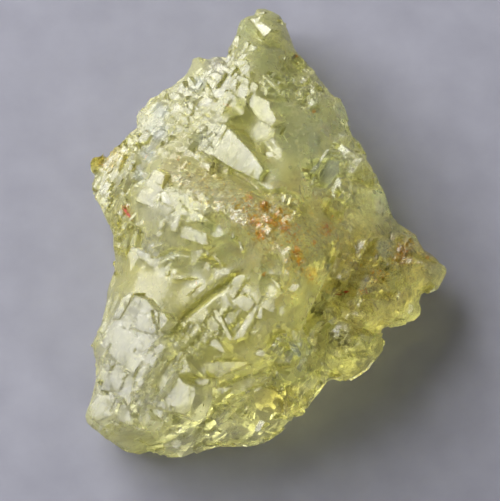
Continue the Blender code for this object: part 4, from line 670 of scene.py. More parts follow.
# ---- distance field ---------------------------------------------------------------------------------------------
class Field:
    def __init__(self, lo, hi, step):
        self.step = step
        self.lo = np.array(lo, float)
        self.n = np.ceil((np.array(hi) - self.lo) / step).astype(int) + 1
        self.ax = [self.lo[i] + step * np.arange(self.n[i]) for i in range(3)]

    def points(self, cut=(slice(None),) * 3):
        return np.stack(np.meshgrid(*[a[s] for a, s in zip(self.ax, cut)], indexing="ij"), -1).astype(np.float32)

    def cut(self, lo, hi):
        i0 = np.clip(np.floor((np.array(lo) - self.lo) / self.step).astype(int), 0, self.n)
        i1 = np.clip(np.ceil((np.array(hi) - self.lo) / self.step).astype(int) + 1, 0, self.n)
        return tuple(slice(a, b) for a, b in zip(i0, i1))

    def set(self, F):
        self.F = F.astype(np.float32)
        N = np.stack(np.gradient(self.F, self.step), -1)
        N /= np.maximum(np.linalg.norm(N, axis=-1, keepdims=True), 1e-6)
        self.N = N.astype(np.float32)

    def convex(self, lo, hi, planes, add):
        """Adds the convex solid of (normal, offset) planes, or cuts it out."""
        cut = self.cut(lo, hi)
        if any(s.stop - s.start < 2 for s in cut):
            return
        P = self.points(cut)
        best = kind = None
        for k, (n, o) in enumerate(planes):
            v = P @ np.asarray(n, np.float32) - np.float32(o)
            if best is None:
                best, kind = v, np.zeros(v.shape, np.int16)
            else:
                m = v > best
                best = np.where(m, v, best)
                kind[m] = k
        normals = np.array([n for n, _ in planes], np.float32)
        F, N = self.F[cut], self.N[cut]
        m = best < F if add else -best > F
        if m.any():
            F[m] = best[m] if add else -best[m]
            N[m] = normals[kind[m]] * (1 if add else -1)

    def scoop(self, centre, radius):
        cut = self.cut(centre - radius, centre + radius)
        if any(s.stop - s.start < 2 for s in cut):
            return
        d = self.points(cut) - centre.astype(np.float32)
        r = np.linalg.norm(d, axis=-1)
        F, N = self.F[cut], self.N[cut]
        m = radius - r > F
        F[m] = (radius - r)[m]
        N[m] = (-d / np.maximum(r, 1e-6)[..., None])[m]

    def keep(self, v, n):
        m = v > self.F
        self.F[m] = v[m]
        self.N[m] = n[m] if n.ndim > 1 else n

    def contour(self, stiff=0.05):
        """Dual contouring: vertices at the planes' crossings, so that edges and corners stay sharp."""
        F, N, h = self.F, self.N, self.step
        inside = F < 0
        cells = tuple(s - 1 for s in F.shape)
        points, normals, corners, quads = [], [], [], []
        for ax in range(3):
            s0, s1 = [slice(None)] * 3, [slice(None)] * 3
            s0[ax], s1[ax] = slice(0, -1), slice(1, None)
            a, b = inside[tuple(s0)], inside[tuple(s1)]
            I = np.argwhere(a != b)
            o1, o2 = ((1, 2), (2, 0), (0, 1))[ax]
            I = I[(I[:, o1] > 0) & (I[:, o1] < F.shape[o1] - 1) & (I[:, o2] > 0) & (I[:, o2] < F.shape[o2] - 1)]
            J = I.copy()
            J[:, ax] += 1
            f0, f1 = F[tuple(I.T)], F[tuple(J.T)]
            p = self.lo + I * h
            p[:, ax] += f0 / (f0 - f1) * h
            near = np.abs(f0) < np.abs(f1)
            points.append(p)
            normals.append(np.where(near[:, None], N[tuple(I.T)], N[tuple(J.T)]))
            c = []
            for d1, d2 in ((-1, -1), (0, -1), (0, 0), (-1, 0)):
                K = I.copy()
                K[:, o1] += d1
                K[:, o2] += d2
                c.append((K[:, 0] * cells[1] + K[:, 1]) * cells[2] + K[:, 2])
            c = np.stack(c, 1)
            corners.append(c)
            quads.append(np.where(a[tuple(I.T)][:, None], c, c[:, ::-1]))
        P, V = np.concatenate(points), np.concatenate(normals).astype(float)
        C, Q = np.concatenate(corners), np.concatenate(quads)
        ids, inv = np.unique(C.ravel(), return_inverse=True)
        inv = inv.reshape(C.shape)
        m = len(ids)

        def gather(w):
            return sum(np.bincount(inv[:, k], weights=w, minlength=m) for k in range(4))

        count = gather(np.ones(len(P)))
        mean = np.stack([gather(P[:, i]) for i in range(3)], 1) / count[:, None]
        A, B = np.zeros((m, 3, 3)), np.zeros((m, 3))
        d = (V * P).sum(1)
        for i in range(3):
            B[:, i] = gather(V[:, i] * d)
            for j in range(i, 3):
                A[:, i, j] = A[:, j, i] = gather(V[:, i] * V[:, j])
        B -= np.einsum("mij,mj->mi", A, mean)
        A += np.eye(3) * (stiff * count)[:, None, None] * 0.5
        x = np.linalg.solve(A, B[..., None])[..., 0]
        ck, cj, ci = ids % cells[2], (ids // cells[2]) % cells[1], ids // (cells[2] * cells[1])
        lo = self.lo + np.stack([ci, cj, ck], 1) * h
        return np.clip(mean + x, lo - 0.1 * h, lo + 1.1 * h), np.searchsorted(ids, Q)


def vertex_normals(v, q):
    n = np.cross(v[q[:, 0]] - v[q[:, 2]], v[q[:, 1]] - v[q[:, 3]])
    out = np.zeros_like(v)
    for k in range(4):
        np.add.at(out, q[:, k], n)
    return out / np.maximum(np.linalg.norm(out, axis=1, keepdims=True), 1e-9)


def largest_body(v, q):
    label = np.arange(len(v))
    while True:
        low = label[q].min(1)
        new = label.copy()
        for k in range(4):
            np.minimum.at(new, q[:, k], low)
        new = new[new]
        if (new == label).all():
            break
        label = new
    kinds, count = np.unique(label[q[:, 0]], return_counts=True)
    q = q[label[q[:, 0]] == kinds[count.argmax()]]
    ids, inv = np.unique(q, return_inverse=True)
    return v[ids], inv.reshape(q.shape)


# ---- the stone ----------------------------------------------------------------------------------------------------
def build_stone():
    t0 = time.time()
    sheet = Sheet()
    D, RIM = sheet.silhouette()
    H = sheet.plate(SPOT_HEIGHTS)
    for width, depth, path in GROOVES:
        d, along = sheet.to_line(path)
        H = H - depth * np.exp(-((d / width) ** 2)) * np.clip(np.minimum(along, 1 - along) * 8 + 0.25, 0, 1)
    zones = {name: sheet.zone(spots) for name, spots in ZONES.items()}
    sheet.D, sheet.RIM, sheet.H, sheet.zones = D, RIM, H, zones

    rim = np.array([at_height(x, y, z) for x, y, z in SILHOUETTE])
    lo, hi = rim.min(0) - 0.7, rim.max(0) + 0.7
    lo[2], hi[2] = -0.5, 18.4
    field = Field(lo, hi, GRID)
    P = field.points()
    px, py = to_sheet(P)
    d = sheet.read(D, px, py).astype(np.float32)
    r = sheet.read(RIM, px, py).astype(np.float32)
    h = sheet.read(H, px, py).astype(np.float32)
    broad, mid = smooth_noise(P, 4.6, 11, 2), smooth_noise(P, 1.5, 12, 2)
    fine = smooth_noise(P, 0.55, 13, 2)
    lump = sheet.read(zones["lumpy"], px, py).astype(np.float32)
    fuzz = sheet.read(zones["fuzzy"], px, py).astype(np.float32)
    calm = sheet.read(zones["glassy"], px, py).astype(np.float32)
    h = h + broad * (0.25 + 0.35 * lump) + mid * (0.12 + 0.28 * lump) * (1 - 0.8 * calm) + fine * (0.02 + 0.16 * fuzz) * (1 - calm)
    t = np.clip(d / 2.3, 0, 1)
    top = r + (h - r) * np.sqrt(np.clip(1 - (1 - t) ** 2, 0, 1))
    t = np.clip(d / 4.2, 0, 1)
    foot = r * (1 - np.sqrt(np.clip(1 - (1 - t) ** 2, 0, 1)))
    foot += np.clip(broad * 0.9 + mid * 0.5 + 0.15, 0, 1) * 1.25 * np.clip(d / 3.0, 0, 1)
    z = P[..., 2]

    def slope_scaled(raw):
        g = np.gradient(raw, GRID)
        return raw / np.maximum(np.sqrt(g[0] ** 2 + g[1] ** 2 + g[2] ** 2), 1)

    field.set(np.maximum(np.maximum(slope_scaled(z - top), slope_scaled(foot - z)), 0.10 - d))
    del P, px, py, r, h, broad, mid, fine, top, foot
    print("field", field.F.shape, round(time.time() - t0, 1))
    add_terraces(field, sheet)
    print("terraces", round(time.time() - t0, 1))
    v, q = field.contour()
    vn = vertex_normals(v, q)
    print("first contour", len(v), round(time.time() - t0, 1))
    add_blocks(field, sheet, v, vn)
    add_scoops(field, sheet)
    add_faces(field, sheet)
    v, q = field.contour()
    add_pits(field, v, vertex_normals(v, q))
    print("pits", round(time.time() - t0, 1))
    # inside the silhouette's cone, and above what it rests on
    P = field.points()
    px, py = to_sheet(P)
    d = sheet.read(D, px, py).astype(np.float32)
    g = np.stack(np.gradient(-d, GRID), -1)
    g /= np.maximum(np.linalg.norm(g, axis=-1, keepdims=True), 1e-6)
    field.keep(-(d + 0.08), g.astype(np.float32))
    for axis in range(3):
        for side in (0, 1):
            n = np.zeros(3, np.float32)
            n[axis] = 2 * side - 1
            limit = np.array(CAD_BOX[side])[axis] / MM - SHIFT[axis]
            inset = 0.03 if axis == 2 else 0.0
            field.keep((P[..., axis] - np.float32(limit)) * n[axis] + np.float32(inset), n)
    v, q = largest_body(*field.contour())
    print("stone", len(v), "points", round(time.time() - t0, 1))
    return sheet, v, q


def top_at(sheet, x, y):
    d, r, h = (float(sheet.read(m, x, y)) for m in (sheet.D, sheet.RIM, sheet.H))
    t = min(1.0, max(0.0, d / 2.3))
    return r + (h - r) * math.sqrt(max(0.0, 1 - (1 - t) ** 2))


def kind_map(sheet, px, py):
    """For every point the index of the kind of block that belongs there."""
    best = np.full(px.shape, 1.0)
    kind = np.zeros(px.shape, int)
    names = list(BLOCKS)
    for x, y, r, name in BLOCK_ZONES:
        q = np.hypot(px - x, py - y) / r
        m = q < best
        best[m] = q[m]
        kind[m] = names.index(name)
    return kind, names


def add_terraces(field, sheet):
    """Steps the skin along the lattice in a mosaic of slightly shifted grains: treads on etch planes, upright risers."""
    rng = np.random.default_rng(21)
    I = np.argwhere(np.abs(field.F) < 0.62)
    p = field.lo + I * field.step
    k = sheet.read(sheet.zones["stepped"], *to_sheet(p)) * 0.88
    I, p, k = I[k > 0.04], p[k > 0.04], k[k > 0.04]
    seeds = np.array([at_height(x, y, z) for x, y, z in zip(70 + 390 * rng.random(360), 490 * rng.random(360), 18 * rng.random(360))])
    # grains run long with the crystal's axis
    squeeze = np.eye(3) - 0.58 * np.outer(C_AXIS, C_AXIS)
    near, grain = np.full(len(p), 1e9, np.float32), np.zeros(len(p), np.int32)
    warped = (p + 0.5 * np.stack([smooth_noise(p, 1.1, 40 + a, 2) for a in range(3)], -1)).astype(np.float32)
    warped = (warped @ squeeze).astype(np.float32)
    for i, c in enumerate((seeds @ squeeze).astype(np.float32)):
        d = ((warped - c) ** 2).sum(1)
        m = d < near
        near[m], grain[m] = d[m], i
    turned = []
    for _ in seeds:
        angle = 0.8 if rng.random() < 0.20 else (7 + 9 * rng.random()) * (1 if rng.random() < 0.5 else -1)
        turned.append(LATTICE @ turn(C_AXIS + 0.4 * rng.normal(size=3), math.radians(angle)).T)
    L = np.array(turned, np.float32)[grain]
    p = p.astype(np.float32)
    s = np.einsum("nij,nj->ni", L, p) + (rng.random((len(seeds), 3)) * 6)[grain]
    limit = np.array(field.F.shape) - 1.001

    def look(q):
        f = np.clip((q - field.lo) / field.step, 0, limit)
        i = f.astype(np.int32)
        f = (f - i).astype(np.float32)
        out = 0
        for a in (0, 1):
            for b in (0, 1):
                for c in (0, 1):
                    w = (f[:, 0] if a else 1 - f[:, 0]) * (f[:, 1] if b else 1 - f[:, 1]) * (f[:, 2] if c else 1 - f[:, 2])
                    out = out + w * field.F[i[:, 0] + a, i[:, 1] + b, i[:, 2] + c]
        return out

    steps = []
    base = p.copy()
    for a in range(3):
        least, most = STEPS[a]
        e = np.cumsum(least + (most - least) * rng.random(900) ** 1.6) - 70
        i = np.searchsorted(e, s[:, a])
        low, high = e[i - 1], e[i]
        up = s[:, a] - low > high - s[:, a]
        edge = np.where(up, high, low)
        j = i + np.where(up, 1, -1)
        here = k * ((low + high) / 2 - s[:, a])
        there = k * ((e[j - 1] + e[j]) / 2 - edge) + edge - s[:, a]
        base += here[:, None] * L[:, a]
        steps.append((there - here, np.abs(edge - s[:, a]), up))
    F = look(base)
    best = F.copy()
    j = np.clip(np.rint((base - field.lo) / field.step).astype(int), 0, np.array(field.F.shape) - 1)
    normal = field.N[j[:, 0], j[:, 1], j[:, 2]].copy()
    for a, (more, dist, up) in enumerate(steps):
        G = look(base + more[:, None] * L[:, a])
        m = ((F < 0) != (G < 0)) & (dist < np.abs(best))
        best[m] = (np.where(F < 0, -1, 1) * dist)[m]
        normal[m] = (np.where((G > F) == up, 1.0, -1.0)[:, None] * L[:, a])[m]
    field.F[I[:, 0], I[:, 1], I[:, 2]] = best
    field.N[I[:, 0], I[:, 1], I[:, 2]] = normal


def add_blocks(field, sheet, v, vn):
    rng = np.random.default_rng(3)
    px, py = to_sheet(v)
    kind, names = kind_map(sheet, px, py)
    kind[vn[:, 2] < -0.5] = names.index("under")
    seen = vn @ OUT > 0.05
    share = np.array([BLOCKS[n][0] for n in names])[kind]
    # density is stated per square mm; each vertex stands for about one grid square
    chance = share * GRID * GRID
    picked = np.nonzero(rng.random(len(v)) < chance)[0]
    made = []
    for i in picked:
        _, s0, s1, long, p0, p1, lean, cut = BLOCKS[names[kind[i]]]
        s = s0 * (s1 / s0) ** (rng.random() ** 1.4)
        sides = s * (0.6 + 0.6 * rng.random(3))
        half = s * (0.7 + long * rng.random())
        R = turn(rng.normal(size=3), math.radians(lean) * (rng.random() * 1.2))
        ns = [R @ n for n in HEX] + [R @ C_AXIS]
        rs = list(sides) + [half]
        reach = min(t / max(abs(n @ vn[i]), 1e-6) for n, t in zip(ns, rs))
        proud = (p0 + (p1 - p0) * rng.random()) * min(s, 1.0)
        neg = rng.random() < cut
        c = v[i] + vn[i] * (reach - proud) * (1 if neg else -1)
        made.append((s, neg, c, ns, rs))
    made.sort(key=lambda b: -b[0])
    for s, neg, c, ns, rs in made:
        planes = []
        for n, t in zip(ns, rs):
            planes += [(n, n @ c + t), (-n, t - n @ c)]
        ext = max(rs[3], max(rs[:3]) * 1.2) * 1.4
        field.convex(c - ext, c + ext, planes, not neg)
    print("blocks", len(made))


def add_scoops(field, sheet):
    for x, y, depth, radius, nx, ny in SCOOPS:
        n = unit(RIGHT * nx - UP * ny + OUT)
        radius, depth = radius * 2.0, depth * 0.65
        c = at_height(x, y, top_at(sheet, x, y)) + n * (radius - depth)
        field.scoop(c, radius)


def all_faces():
    """The etch faces, then each lit edge as a run of narrow faces."""
    out = list(PLANES) + list(ETCH_FACES)
    for kind, width, path in LIT_EDGES:
        for (x0, y0), (x1, y1) in zip(path, path[1:]):
            length = math.hypot(x1 - x0, y1 - y0)
            pieces = max(1, int(length / 7))
            dx, dy = (x1 - x0) / pieces, (y1 - y0) / pieces
            nx, ny = -dy * pieces / length * width / 2, dx * pieces / length * width / 2
            for i in range(pieces):
                ax, ay = x0 + dx * i, y0 + dy * i
                bx, by = ax + dx, ay + dy
                out.append((kind, [[(ax + nx, ay + ny), (bx + nx, by + ny), (bx - nx, by - ny), (ax - nx, ay - ny)]]))
    return out


def add_faces(field, sheet):
    rng = np.random.default_rng(5)
    for kind, outlines, *place in all_faces():
        every = np.concatenate([np.array(o, float) for o in outlines])
        x, y = place[1] if len(place) > 1 else every.mean(0)
        seat = at_height(x, y, top_at(sheet, x, y) + (0.02 if kind == "chord" else 0.10) + (place[0] if place else 0.0))
        if kind == "chord":
            # a flat through the skin as it lies under the outline
            spots = np.array([at_height(u, w, top_at(sheet, u, w)) for u, w in every])
            n = np.linalg.svd(spots - spots.mean(0))[2][2]
            n = n if n @ OUT > 0 else -n
            n = turn(rng.normal(size=3), math.radians(2.5) * rng.normal()) @ n
            if n @ OUT < 0.3:
                continue
        else:
            wide = len(every) > 5 and float(np.ptp(every[:, 0])) > 14
            loose = 0.25 if len(place) > 1 else 0.6 if wide else 1.6
            n = turn(rng.normal(size=3), math.radians(loose) * rng.normal()) @ PLANE_KINDS[kind]
        flat = []
        for poly in outlines:
            poly = np.array(poly, float)
            if (poly[:, 0] * np.roll(poly[:, 1], -1) - np.roll(poly[:, 0], -1) * poly[:, 1]).sum() < 0:
                poly = poly[::-1]
            corners = []
            for u, w in poly:
                r = sight(u, w)
                corners.append(EYE + r * (((seat - EYE) @ n) / (r @ n)))
            flat.append(np.array(corners))
        for add in (True, False):
            for corners in flat:
                middle = corners.mean(0)
                size = np.linalg.norm(corners - middle, axis=1).max()
                depth = min(2.5, 0.5 + size)
                lean = math.radians(9)
                planes = []
                for a, b in zip(corners, np.roll(corners, -1, axis=0)):
                    side = np.cross(unit(b - a), n)
                    if side @ (middle - a) > 0:
                        side = -side
                    m = unit(math.cos(lean) * side + math.sin(lean) * n * (1 if add else -1))
                    planes.append((m, m @ a))
                if add:
                    planes += [(n, n @ seat), (-n, depth - n @ seat)]
                    grow = depth * 1.2 + 0.3
                else:
                    planes += [(-n, -(n @ seat)), (n, n @ seat + 1.4 + 0.5 * size)]
                    grow = 2.0 + 0.5 * size
                field.convex(corners.min(0) - grow, corners.max(0) + grow, planes, add)


def add_pits(field, v, vn):
    """Small flat-floored pits and terraces of the lattice in the etched planes."""
    rng = np.random.default_rng(9)
    px, py = to_sheet(v)
    want = np.zeros(len(v))
    for x, y, r, number in PIT_ZONES:
        want = np.maximum(want, np.where(np.hypot(px - x, py - y) < r, number, 0))
    face = np.where(vn @ ETCH > 0.8, 1.0, 0.35) * (vn @ OUT > 0.1)
    picked = np.nonzero(rng.random(len(v)) < want * face * GRID * GRID)[0]
    for i in picked:
        s = 0.09 * (0.32 / 0.09) ** rng.random()
        sides = s * (0.5 + 0.7 * rng.random(3))
        half = s * (0.8 + 2.6 * rng.random() ** 2)
        R = turn(rng.normal(size=3), math.radians(1.2) * rng.random())
        ns = [R @ n for n in HEX] + [R @ C_AXIS]
        sunk = rng.random() < 0.72
        deep = (0.04 + 0.09 * rng.random()) if sunk else (0.03 + 0.07 * rng.random())
        sides[0] = 0.25
        c = v[i] + ns[0] * ((sides[0] - deep) if sunk else -(sides[0] - deep))
        planes = []
        for n, t in zip(ns, list(sides) + [half]):
            planes += [(n, n @ c + t), (-n, t - n @ c)]
        ext = max(half, sides.max() * 1.2) * 1.4
        field.convex(c - ext, c + ext, planes, not sunk)
    print("pits", len(picked))


def stone_mesh(v, q):
    mesh = bpy.data.meshes.new("heliodor_etched_crystal")
    mesh.vertices.add(len(v))
    place = np.clip((v + SHIFT) * MM, CAD_BOX[0], CAD_BOX[1])
    mesh.vertices.foreach_set("co", place.astype(np.float32).ravel())
    mesh.loops.add(len(q) * 4)
    mesh.loops.foreach_set("vertex_index", q.astype(np.int32).ravel())
    mesh.polygons.add(len(q))
    mesh.polygons.foreach_set("loop_start", np.arange(0, len(q) * 4, 4, dtype=np.int32))
    mesh.update(calc_edges=True)
    mesh.validate()
    piece = bpy.data.objects.new("heliodor_etched_crystal", mesh)
    bpy.context.scene.collection.objects.link(piece)
    triangles = 2 * len(q)
    if triangles > MOST_TRIANGLES:
        # the underside is thinned first, then the whole skin
        no = np.empty(len(v) * 3, np.float32)
        mesh.vertex_normals.foreach_get("vector", no)
        under = np.nonzero(no.reshape(-1, 3) @ OUT < -0.15)[0]
        group = piece.vertex_groups.new(name="under")
        group.add([int(i) for i in under], 1.0, "REPLACE")
        share = len(under) / len(v)
        first = piece.modifiers.new("thin_under", "DECIMATE")
        first.ratio = 1 - 0.55 * share
        first.vertex_group = "under"
        first.use_collapse_triangulate = True
        triangles *= first.ratio
        thin = piece.modifiers.new("thin", "DECIMATE")
        thin.ratio = min(1.0, MOST_TRIANGLES / triangles)
        thin.use_collapse_triangulate = True
        graph = bpy.context.evaluated_depsgraph_get()
        lighter = bpy.data.meshes.new_from_object(piece.evaluated_get(graph))
        piece.modifiers.clear()
        piece.data = lighter
        bpy.data.meshes.remove(mesh)
        mesh = lighter
        mesh.name = "heliodor_etched_crystal"
    mesh.shade_smooth()
    mesh.set_sharp_from_angle(angle=math.radians(21))
    return piece


def paint_stone(piece, sheet):
    """Per-point tint, with painted shade and painted highlight patches in it, frost (roughness) and grain (size of the
    micro-etching) over the skin.
    """
    mesh = piece.data
    n = len(mesh.vertices)
    co = np.empty(n * 3, np.float32)
    mesh.vertices.foreach_get("co", co)
    P = co.reshape(-1, 3) / MM - SHIFT
    no = np.empty(n * 3, np.float32)
    mesh.vertex_normals.foreach_get("vector", no)
    no = no.reshape(-1, 3)
    px, py = to_sheet(P)
    tint = np.tile(np.array(TINTS["body"]), (n, 1))
    wobble = smooth_noise(P, 2.2, 31, 3)
    wob2 = smooth_noise(P, 0.7, 32, 2)
    for name, strength, spots in TINT_ZONES:
        w = np.zeros(n)
        for x, y, r in spots:
            t = np.clip(1.5 - np.hypot(px - x, py - y) / r * (1 + 0.25 * wobble) , 0, 1)
            w = np.maximum(w, t * t * (3 - 2 * t))
        w = w * strength * np.clip(0.85 + 0.55 * wobble + 0.35 * wob2, 0.1, 1.25)
        w = np.clip(w, 0, 1)[:, None]
        tint = tint * (1 - w) + np.array(TINTS[name]) * w
    stain = np.zeros(n)
    for x, y, r, strength in STAINS:
        t = np.clip(1.4 - np.hypot(px - x, py - y) / r * (1 + 0.35 * wobble + 0.2 * wob2), 0, 1)
        stain = np.maximum(stain, strength * t * t * (3 - 2 * t))
    for name, strength, soft, poly in PATCHES:
        a = np.array(poly, float)
        near, inside = np.full(n, 1e9), np.zeros(n, bool)
        for u, w in zip(a, np.roll(a, -1, axis=0)):
            dx, dy = w - u
            t = np.clip(((px - u[0]) * dx + (py - u[1]) * dy) / (dx * dx + dy * dy), 0, 1)
            near = np.minimum(near, np.hypot(px - u[0] - t * dx, py - u[1] - t * dy))
            if dy:
                inside ^= ((u[1] > py) != (w[1] > py)) & (px < u[0] + (py - u[1]) * dx / dy)
        w = np.clip(0.5 + np.where(inside, near, -near) / soft, 0, 1) * strength * (no @ OUT > -0.2)
        if name == "rust":
            stain = np.maximum(stain, w)
            w = 0.35 * w
        tint = tint * (1 - w[:, None]) + np.array(TINTS[name]) * w[:, None]
    # etch faces turned towards the camera are whitened: partly frosted etch, partly a painted highlight of the light
    # they mirror
    etch = np.clip((no @ ETCH - 0.985) / 0.012, 0, 1)
    seen = np.clip((no @ OUT) * 3, 0, 1)
    tint = tint * (1 - 0.35 * (etch * seen)[:, None]) + np.array(TINTS["frost"]) * 0.35 * (etch * seen)[:, None]
    tint = np.clip(tint * (1 + 0.10 * wobble[:, None]), 0, 1)
    glassy = sheet.read(sheet.zones["glassy"], px, py)
    fuzzy = sheet.read(sheet.zones["fuzzy"], px, py)
    lumpy = sheet.read(sheet.zones["lumpy"], px, py)
    grain = np.clip(0.22 - 0.14 * glassy + 0.60 * fuzzy + 0.48 * lumpy - 0.9 * etch, 0.0, 1)
    below = np.clip(-no[:, 2] * 2, 0, 1)
    clear = sheet.read(sheet.zones["clear"], px, py)
    frost = np.clip(0.25 - 0.13 * clear - 0.05 * fuzzy - 0.07 * lumpy - 0.04 * etch + 0.05 * wobble + 0.10 * below, 0.06, 0.42)

    def put(name, kind, data):
        a = mesh.attributes.new(name, kind, "POINT")
        a.data.foreach_set("color" if kind == "FLOAT_COLOR" else "value", data.astype(np.float32).ravel())

    put("tint", "FLOAT_COLOR", np.c_[tint, np.ones(n)])
    put("grain", "FLOAT", grain)
    put("frost", "FLOAT", frost)
    put("stain", "FLOAT", stain)


# ---- materials ------------------------------------------------------------------------------------------------------
def new_material(name):
    m = bpy.data.materials.new(name)
    m.use_nodes = True
    nt = m.node_tree
    return m, nt, nt.nodes["Principled BSDF"], nt.nodes["Material Output"]


def beryl_material():
    m, nt, b, out = new_material("beryl_etched")
    link, new = nt.links.new, nt.nodes.new
    b.inputs["Transmission Weight"].default_value = LOOK["transmission"]
    b.inputs["IOR"].default_value = 1.575
    tc = new("ShaderNodeTexCoord")
    # the tint attribute carries painted shade and painted highlight patches as well as the stone's own colour
    tint = new("ShaderNodeAttribute"); tint.attribute_name = "tint"
    grain = new("ShaderNodeAttribute"); grain.attribute_name = "grain"
    frost = new("ShaderNodeAttribute"); frost.attribute_name = "frost"
    # cloudy variation of the body colour
    cloud = new("ShaderNodeTexNoise"); cloud.inputs["Scale"].default_value = 420; cloud.inputs["Detail"].default_value = 3
    cloud.inputs["Roughness"].default_value = 0.45
    link(tc.outputs["Object"], cloud.inputs["Vector"])
    ramp = new("ShaderNodeMapRange")
    ramp.inputs["From Min"].default_value = 0.3; ramp.inputs["From Max"].default_value = 0.7
    ramp.inputs["To Min"].default_value = 0.86; ramp.inputs["To Max"].default_value = 1.10
    link(cloud.outputs["Fac"], ramp.inputs["Value"])
    mul = new("ShaderNodeVectorMath"); mul.operation = "SCALE"
    link(tint.outputs["Color"], mul.inputs[0]); link(ramp.outputs["Result"], mul.inputs["Scale"])
    # sugary grain: pale and dark specks where the skin is granular
    sugar = new("ShaderNodeTexNoise"); sugar.inputs["Scale"].default_value = 3000; sugar.inputs["Detail"].default_value = 3
    sugar.inputs["Roughness"].default_value = 0.6
    link(tc.outputs["Object"], sugar.inputs["Vector"])
    spread = new("ShaderNodeMapRange")
    spread.inputs["From Min"].default_value = 0.36; spread.inputs["From Max"].default_value = 0.64
    spread.inputs["To Min"].default_value = -0.24; spread.inputs["To Max"].default_value = 0.27
    link(sugar.outputs["Fac"], spread.inputs["Value"])
    amount = new("ShaderNodeMath"); amount.operation = "MULTIPLY_ADD"; amount.inputs[2].default_value = 1.0
    link(spread.outputs["Result"], amount.inputs[0]); link(grain.outputs["Fac"], amount.inputs[1])
    # each small grain a shade of its own
    shade = None
    for scale, least, most in ((2400, -0.18, 0.22), (1100, -0.13, 0.15)):
        vo = new("ShaderNodeTexVoronoi"); vo.inputs["Scale"].default_value = scale
        link(tc.outputs["Object"], vo.inputs["Vector"])
        one = new("ShaderNodeSeparateColor")
        link(vo.outputs["Color"], one.inputs[0])
        span = new("ShaderNodeMapRange")
        span.inputs["To Min"].default_value = least; span.inputs["To Max"].default_value = most
        link(one.outputs[0], span.inputs["Value"])
        more = new("ShaderNodeMath"); more.operation = "MULTIPLY_ADD"
        link(span.outputs["Result"], more.inputs[0]); link(grain.outputs["Fac"], more.inputs[1])
        if shade is None:
            more.inputs[2].default_value = 1.0
        else:
            link(shade.outputs[0], more.inputs[2])
        shade = more
    both = new("ShaderNodeMath"); both.operation = "MULTIPLY"
    link(shade.outputs[0], both.inputs[0]); link(amount.outputs[0], both.inputs[1])
    body = new("ShaderNodeVectorMath"); body.operation = "SCALE"
    link(mul.outputs["Vector"], body.inputs[0]); link(both.outputs[0], body.inputs["Scale"])
    top = new("ShaderNodeVectorMath"); top.operation = "MINIMUM"; top.inputs[1].default_value = (0.99, 0.99, 0.99)
    link(body.outputs["Vector"], top.inputs[0])
    # iron stain in specks: where the noise is under the stain's strength
    stain = new("ShaderNodeAttribute"); stain.attribute_name = "stain"
    dots = new("ShaderNodeTexNoise"); dots.inputs["Scale"].default_value = 2600; dots.inputs["Detail"].default_value = 4
    dots.inputs["Roughness"].default_value = 0.65
    link(tc.outputs["Object"], dots.inputs["Vector"])
    less = new("ShaderNodeMath"); less.operation = "SUBTRACT"
    scaled = new("ShaderNodeMath"); scaled.operation = "MULTIPLY_ADD"; scaled.inputs[1].default_value = 0.36; scaled.inputs[2].default_value = 0.28
    link(stain.outputs["Fac"], scaled.inputs[0])
    link(scaled.outputs[0], less.inputs[0]); link(dots.outputs["Fac"], less.inputs[1])
    sharp = new("ShaderNodeMath"); sharp.operation = "MULTIPLY"; sharp.inputs[1].default_value = 11.0; sharp.use_clamp = True
    link(less.outputs[0], sharp.inputs[0])
    hue = new("ShaderNodeTexNoise"); hue.inputs["Scale"].default_value = 900; hue.inputs["Detail"].default_value = 2
    link(tc.outputs["Object"], hue.inputs["Vector"])
    iron = new("ShaderNodeValToRGB")
    iron.color_ramp.elements[0].position = 0.38; iron.color_ramp.elements[0].color = (0.74, 0.37, 0.012, 1)
    iron.color_ramp.elements[1].position = 0.62; iron.color_ramp.elements[1].color = (0.95, 0.68, 0.11, 1)
    link(hue.outputs["Fac"], iron.inputs["Fac"])
    mix = new("ShaderNodeMix"); mix.data_type = "RGBA"
    link(sharp.outputs[0], mix.inputs[0]); link(top.outputs["Vector"], mix.inputs[6]); link(iron.outputs["Color"], mix.inputs[7])
    link(mix.outputs[2], b.inputs["Base Color"])
    # roughness: frost plus fine mottling
    mott = new("ShaderNodeTexNoise"); mott.inputs["Scale"].default_value = 900; mott.inputs["Detail"].default_value = 2
    link(tc.outputs["Object"], mott.inputs["Vector"])
    mr = new("ShaderNodeMapRange")
    mr.inputs["From Min"].default_value = 0.35; mr.inputs["From Max"].default_value = 0.7
    mr.inputs["To Min"].default_value = 0.85; mr.inputs["To Max"].default_value = 1.2
    link(mott.outputs["Fac"], mr.inputs["Value"])
    rough = new("ShaderNodeMath"); rough.operation = "MULTIPLY"; rough.use_clamp = True
    link(frost.outputs["Fac"], rough.inputs[0]); link(mr.outputs["Result"], rough.inputs[1])
    link(rough.outputs[0], b.inputs["Roughness"])

    # micro-etching: flat-sided cells a third of a millimetre wide, each tipped its own way
    def cells(scale, push):
        vo = new("ShaderNodeTexVoronoi"); vo.inputs["Scale"].default_value = scale
        sc = new("ShaderNodeVectorMath"); sc.operation = "SCALE"; sc.inputs["Scale"].default_value = scale
        link(tc.outputs["Object"], vo.inputs["Vector"])
        link(tc.outputs["Object"], sc.inputs[0])
        sub = new("ShaderNodeVectorMath"); sub.operation = "SUBTRACT"
        pos = new("ShaderNodeVectorMath"); pos.operation = "SCALE"; pos.inputs["Scale"].default_value = scale
        link(vo.outputs["Position"], pos.inputs[0])
        link(sc.outputs["Vector"], sub.inputs[0]); link(pos.outputs["Vector"], sub.inputs[1])
        tip = new("ShaderNodeVectorMath"); tip.operation = "SUBTRACT"; tip.inputs[1].default_value = (0.5, 0.5, 0.5)
        link(vo.outputs["Color"], tip.inputs[0])
        dot = new("ShaderNodeVectorMath"); dot.operation = "DOT_PRODUCT"
        link(sub.outputs["Vector"], dot.inputs[0]); link(tip.outputs["Vector"], dot.inputs[1])
        k = new("ShaderNodeMath"); k.operation = "MULTIPLY"; k.inputs[1].default_value = push
        link(dot.outputs["Value"], k.inputs[0])
        return k.outputs[0]

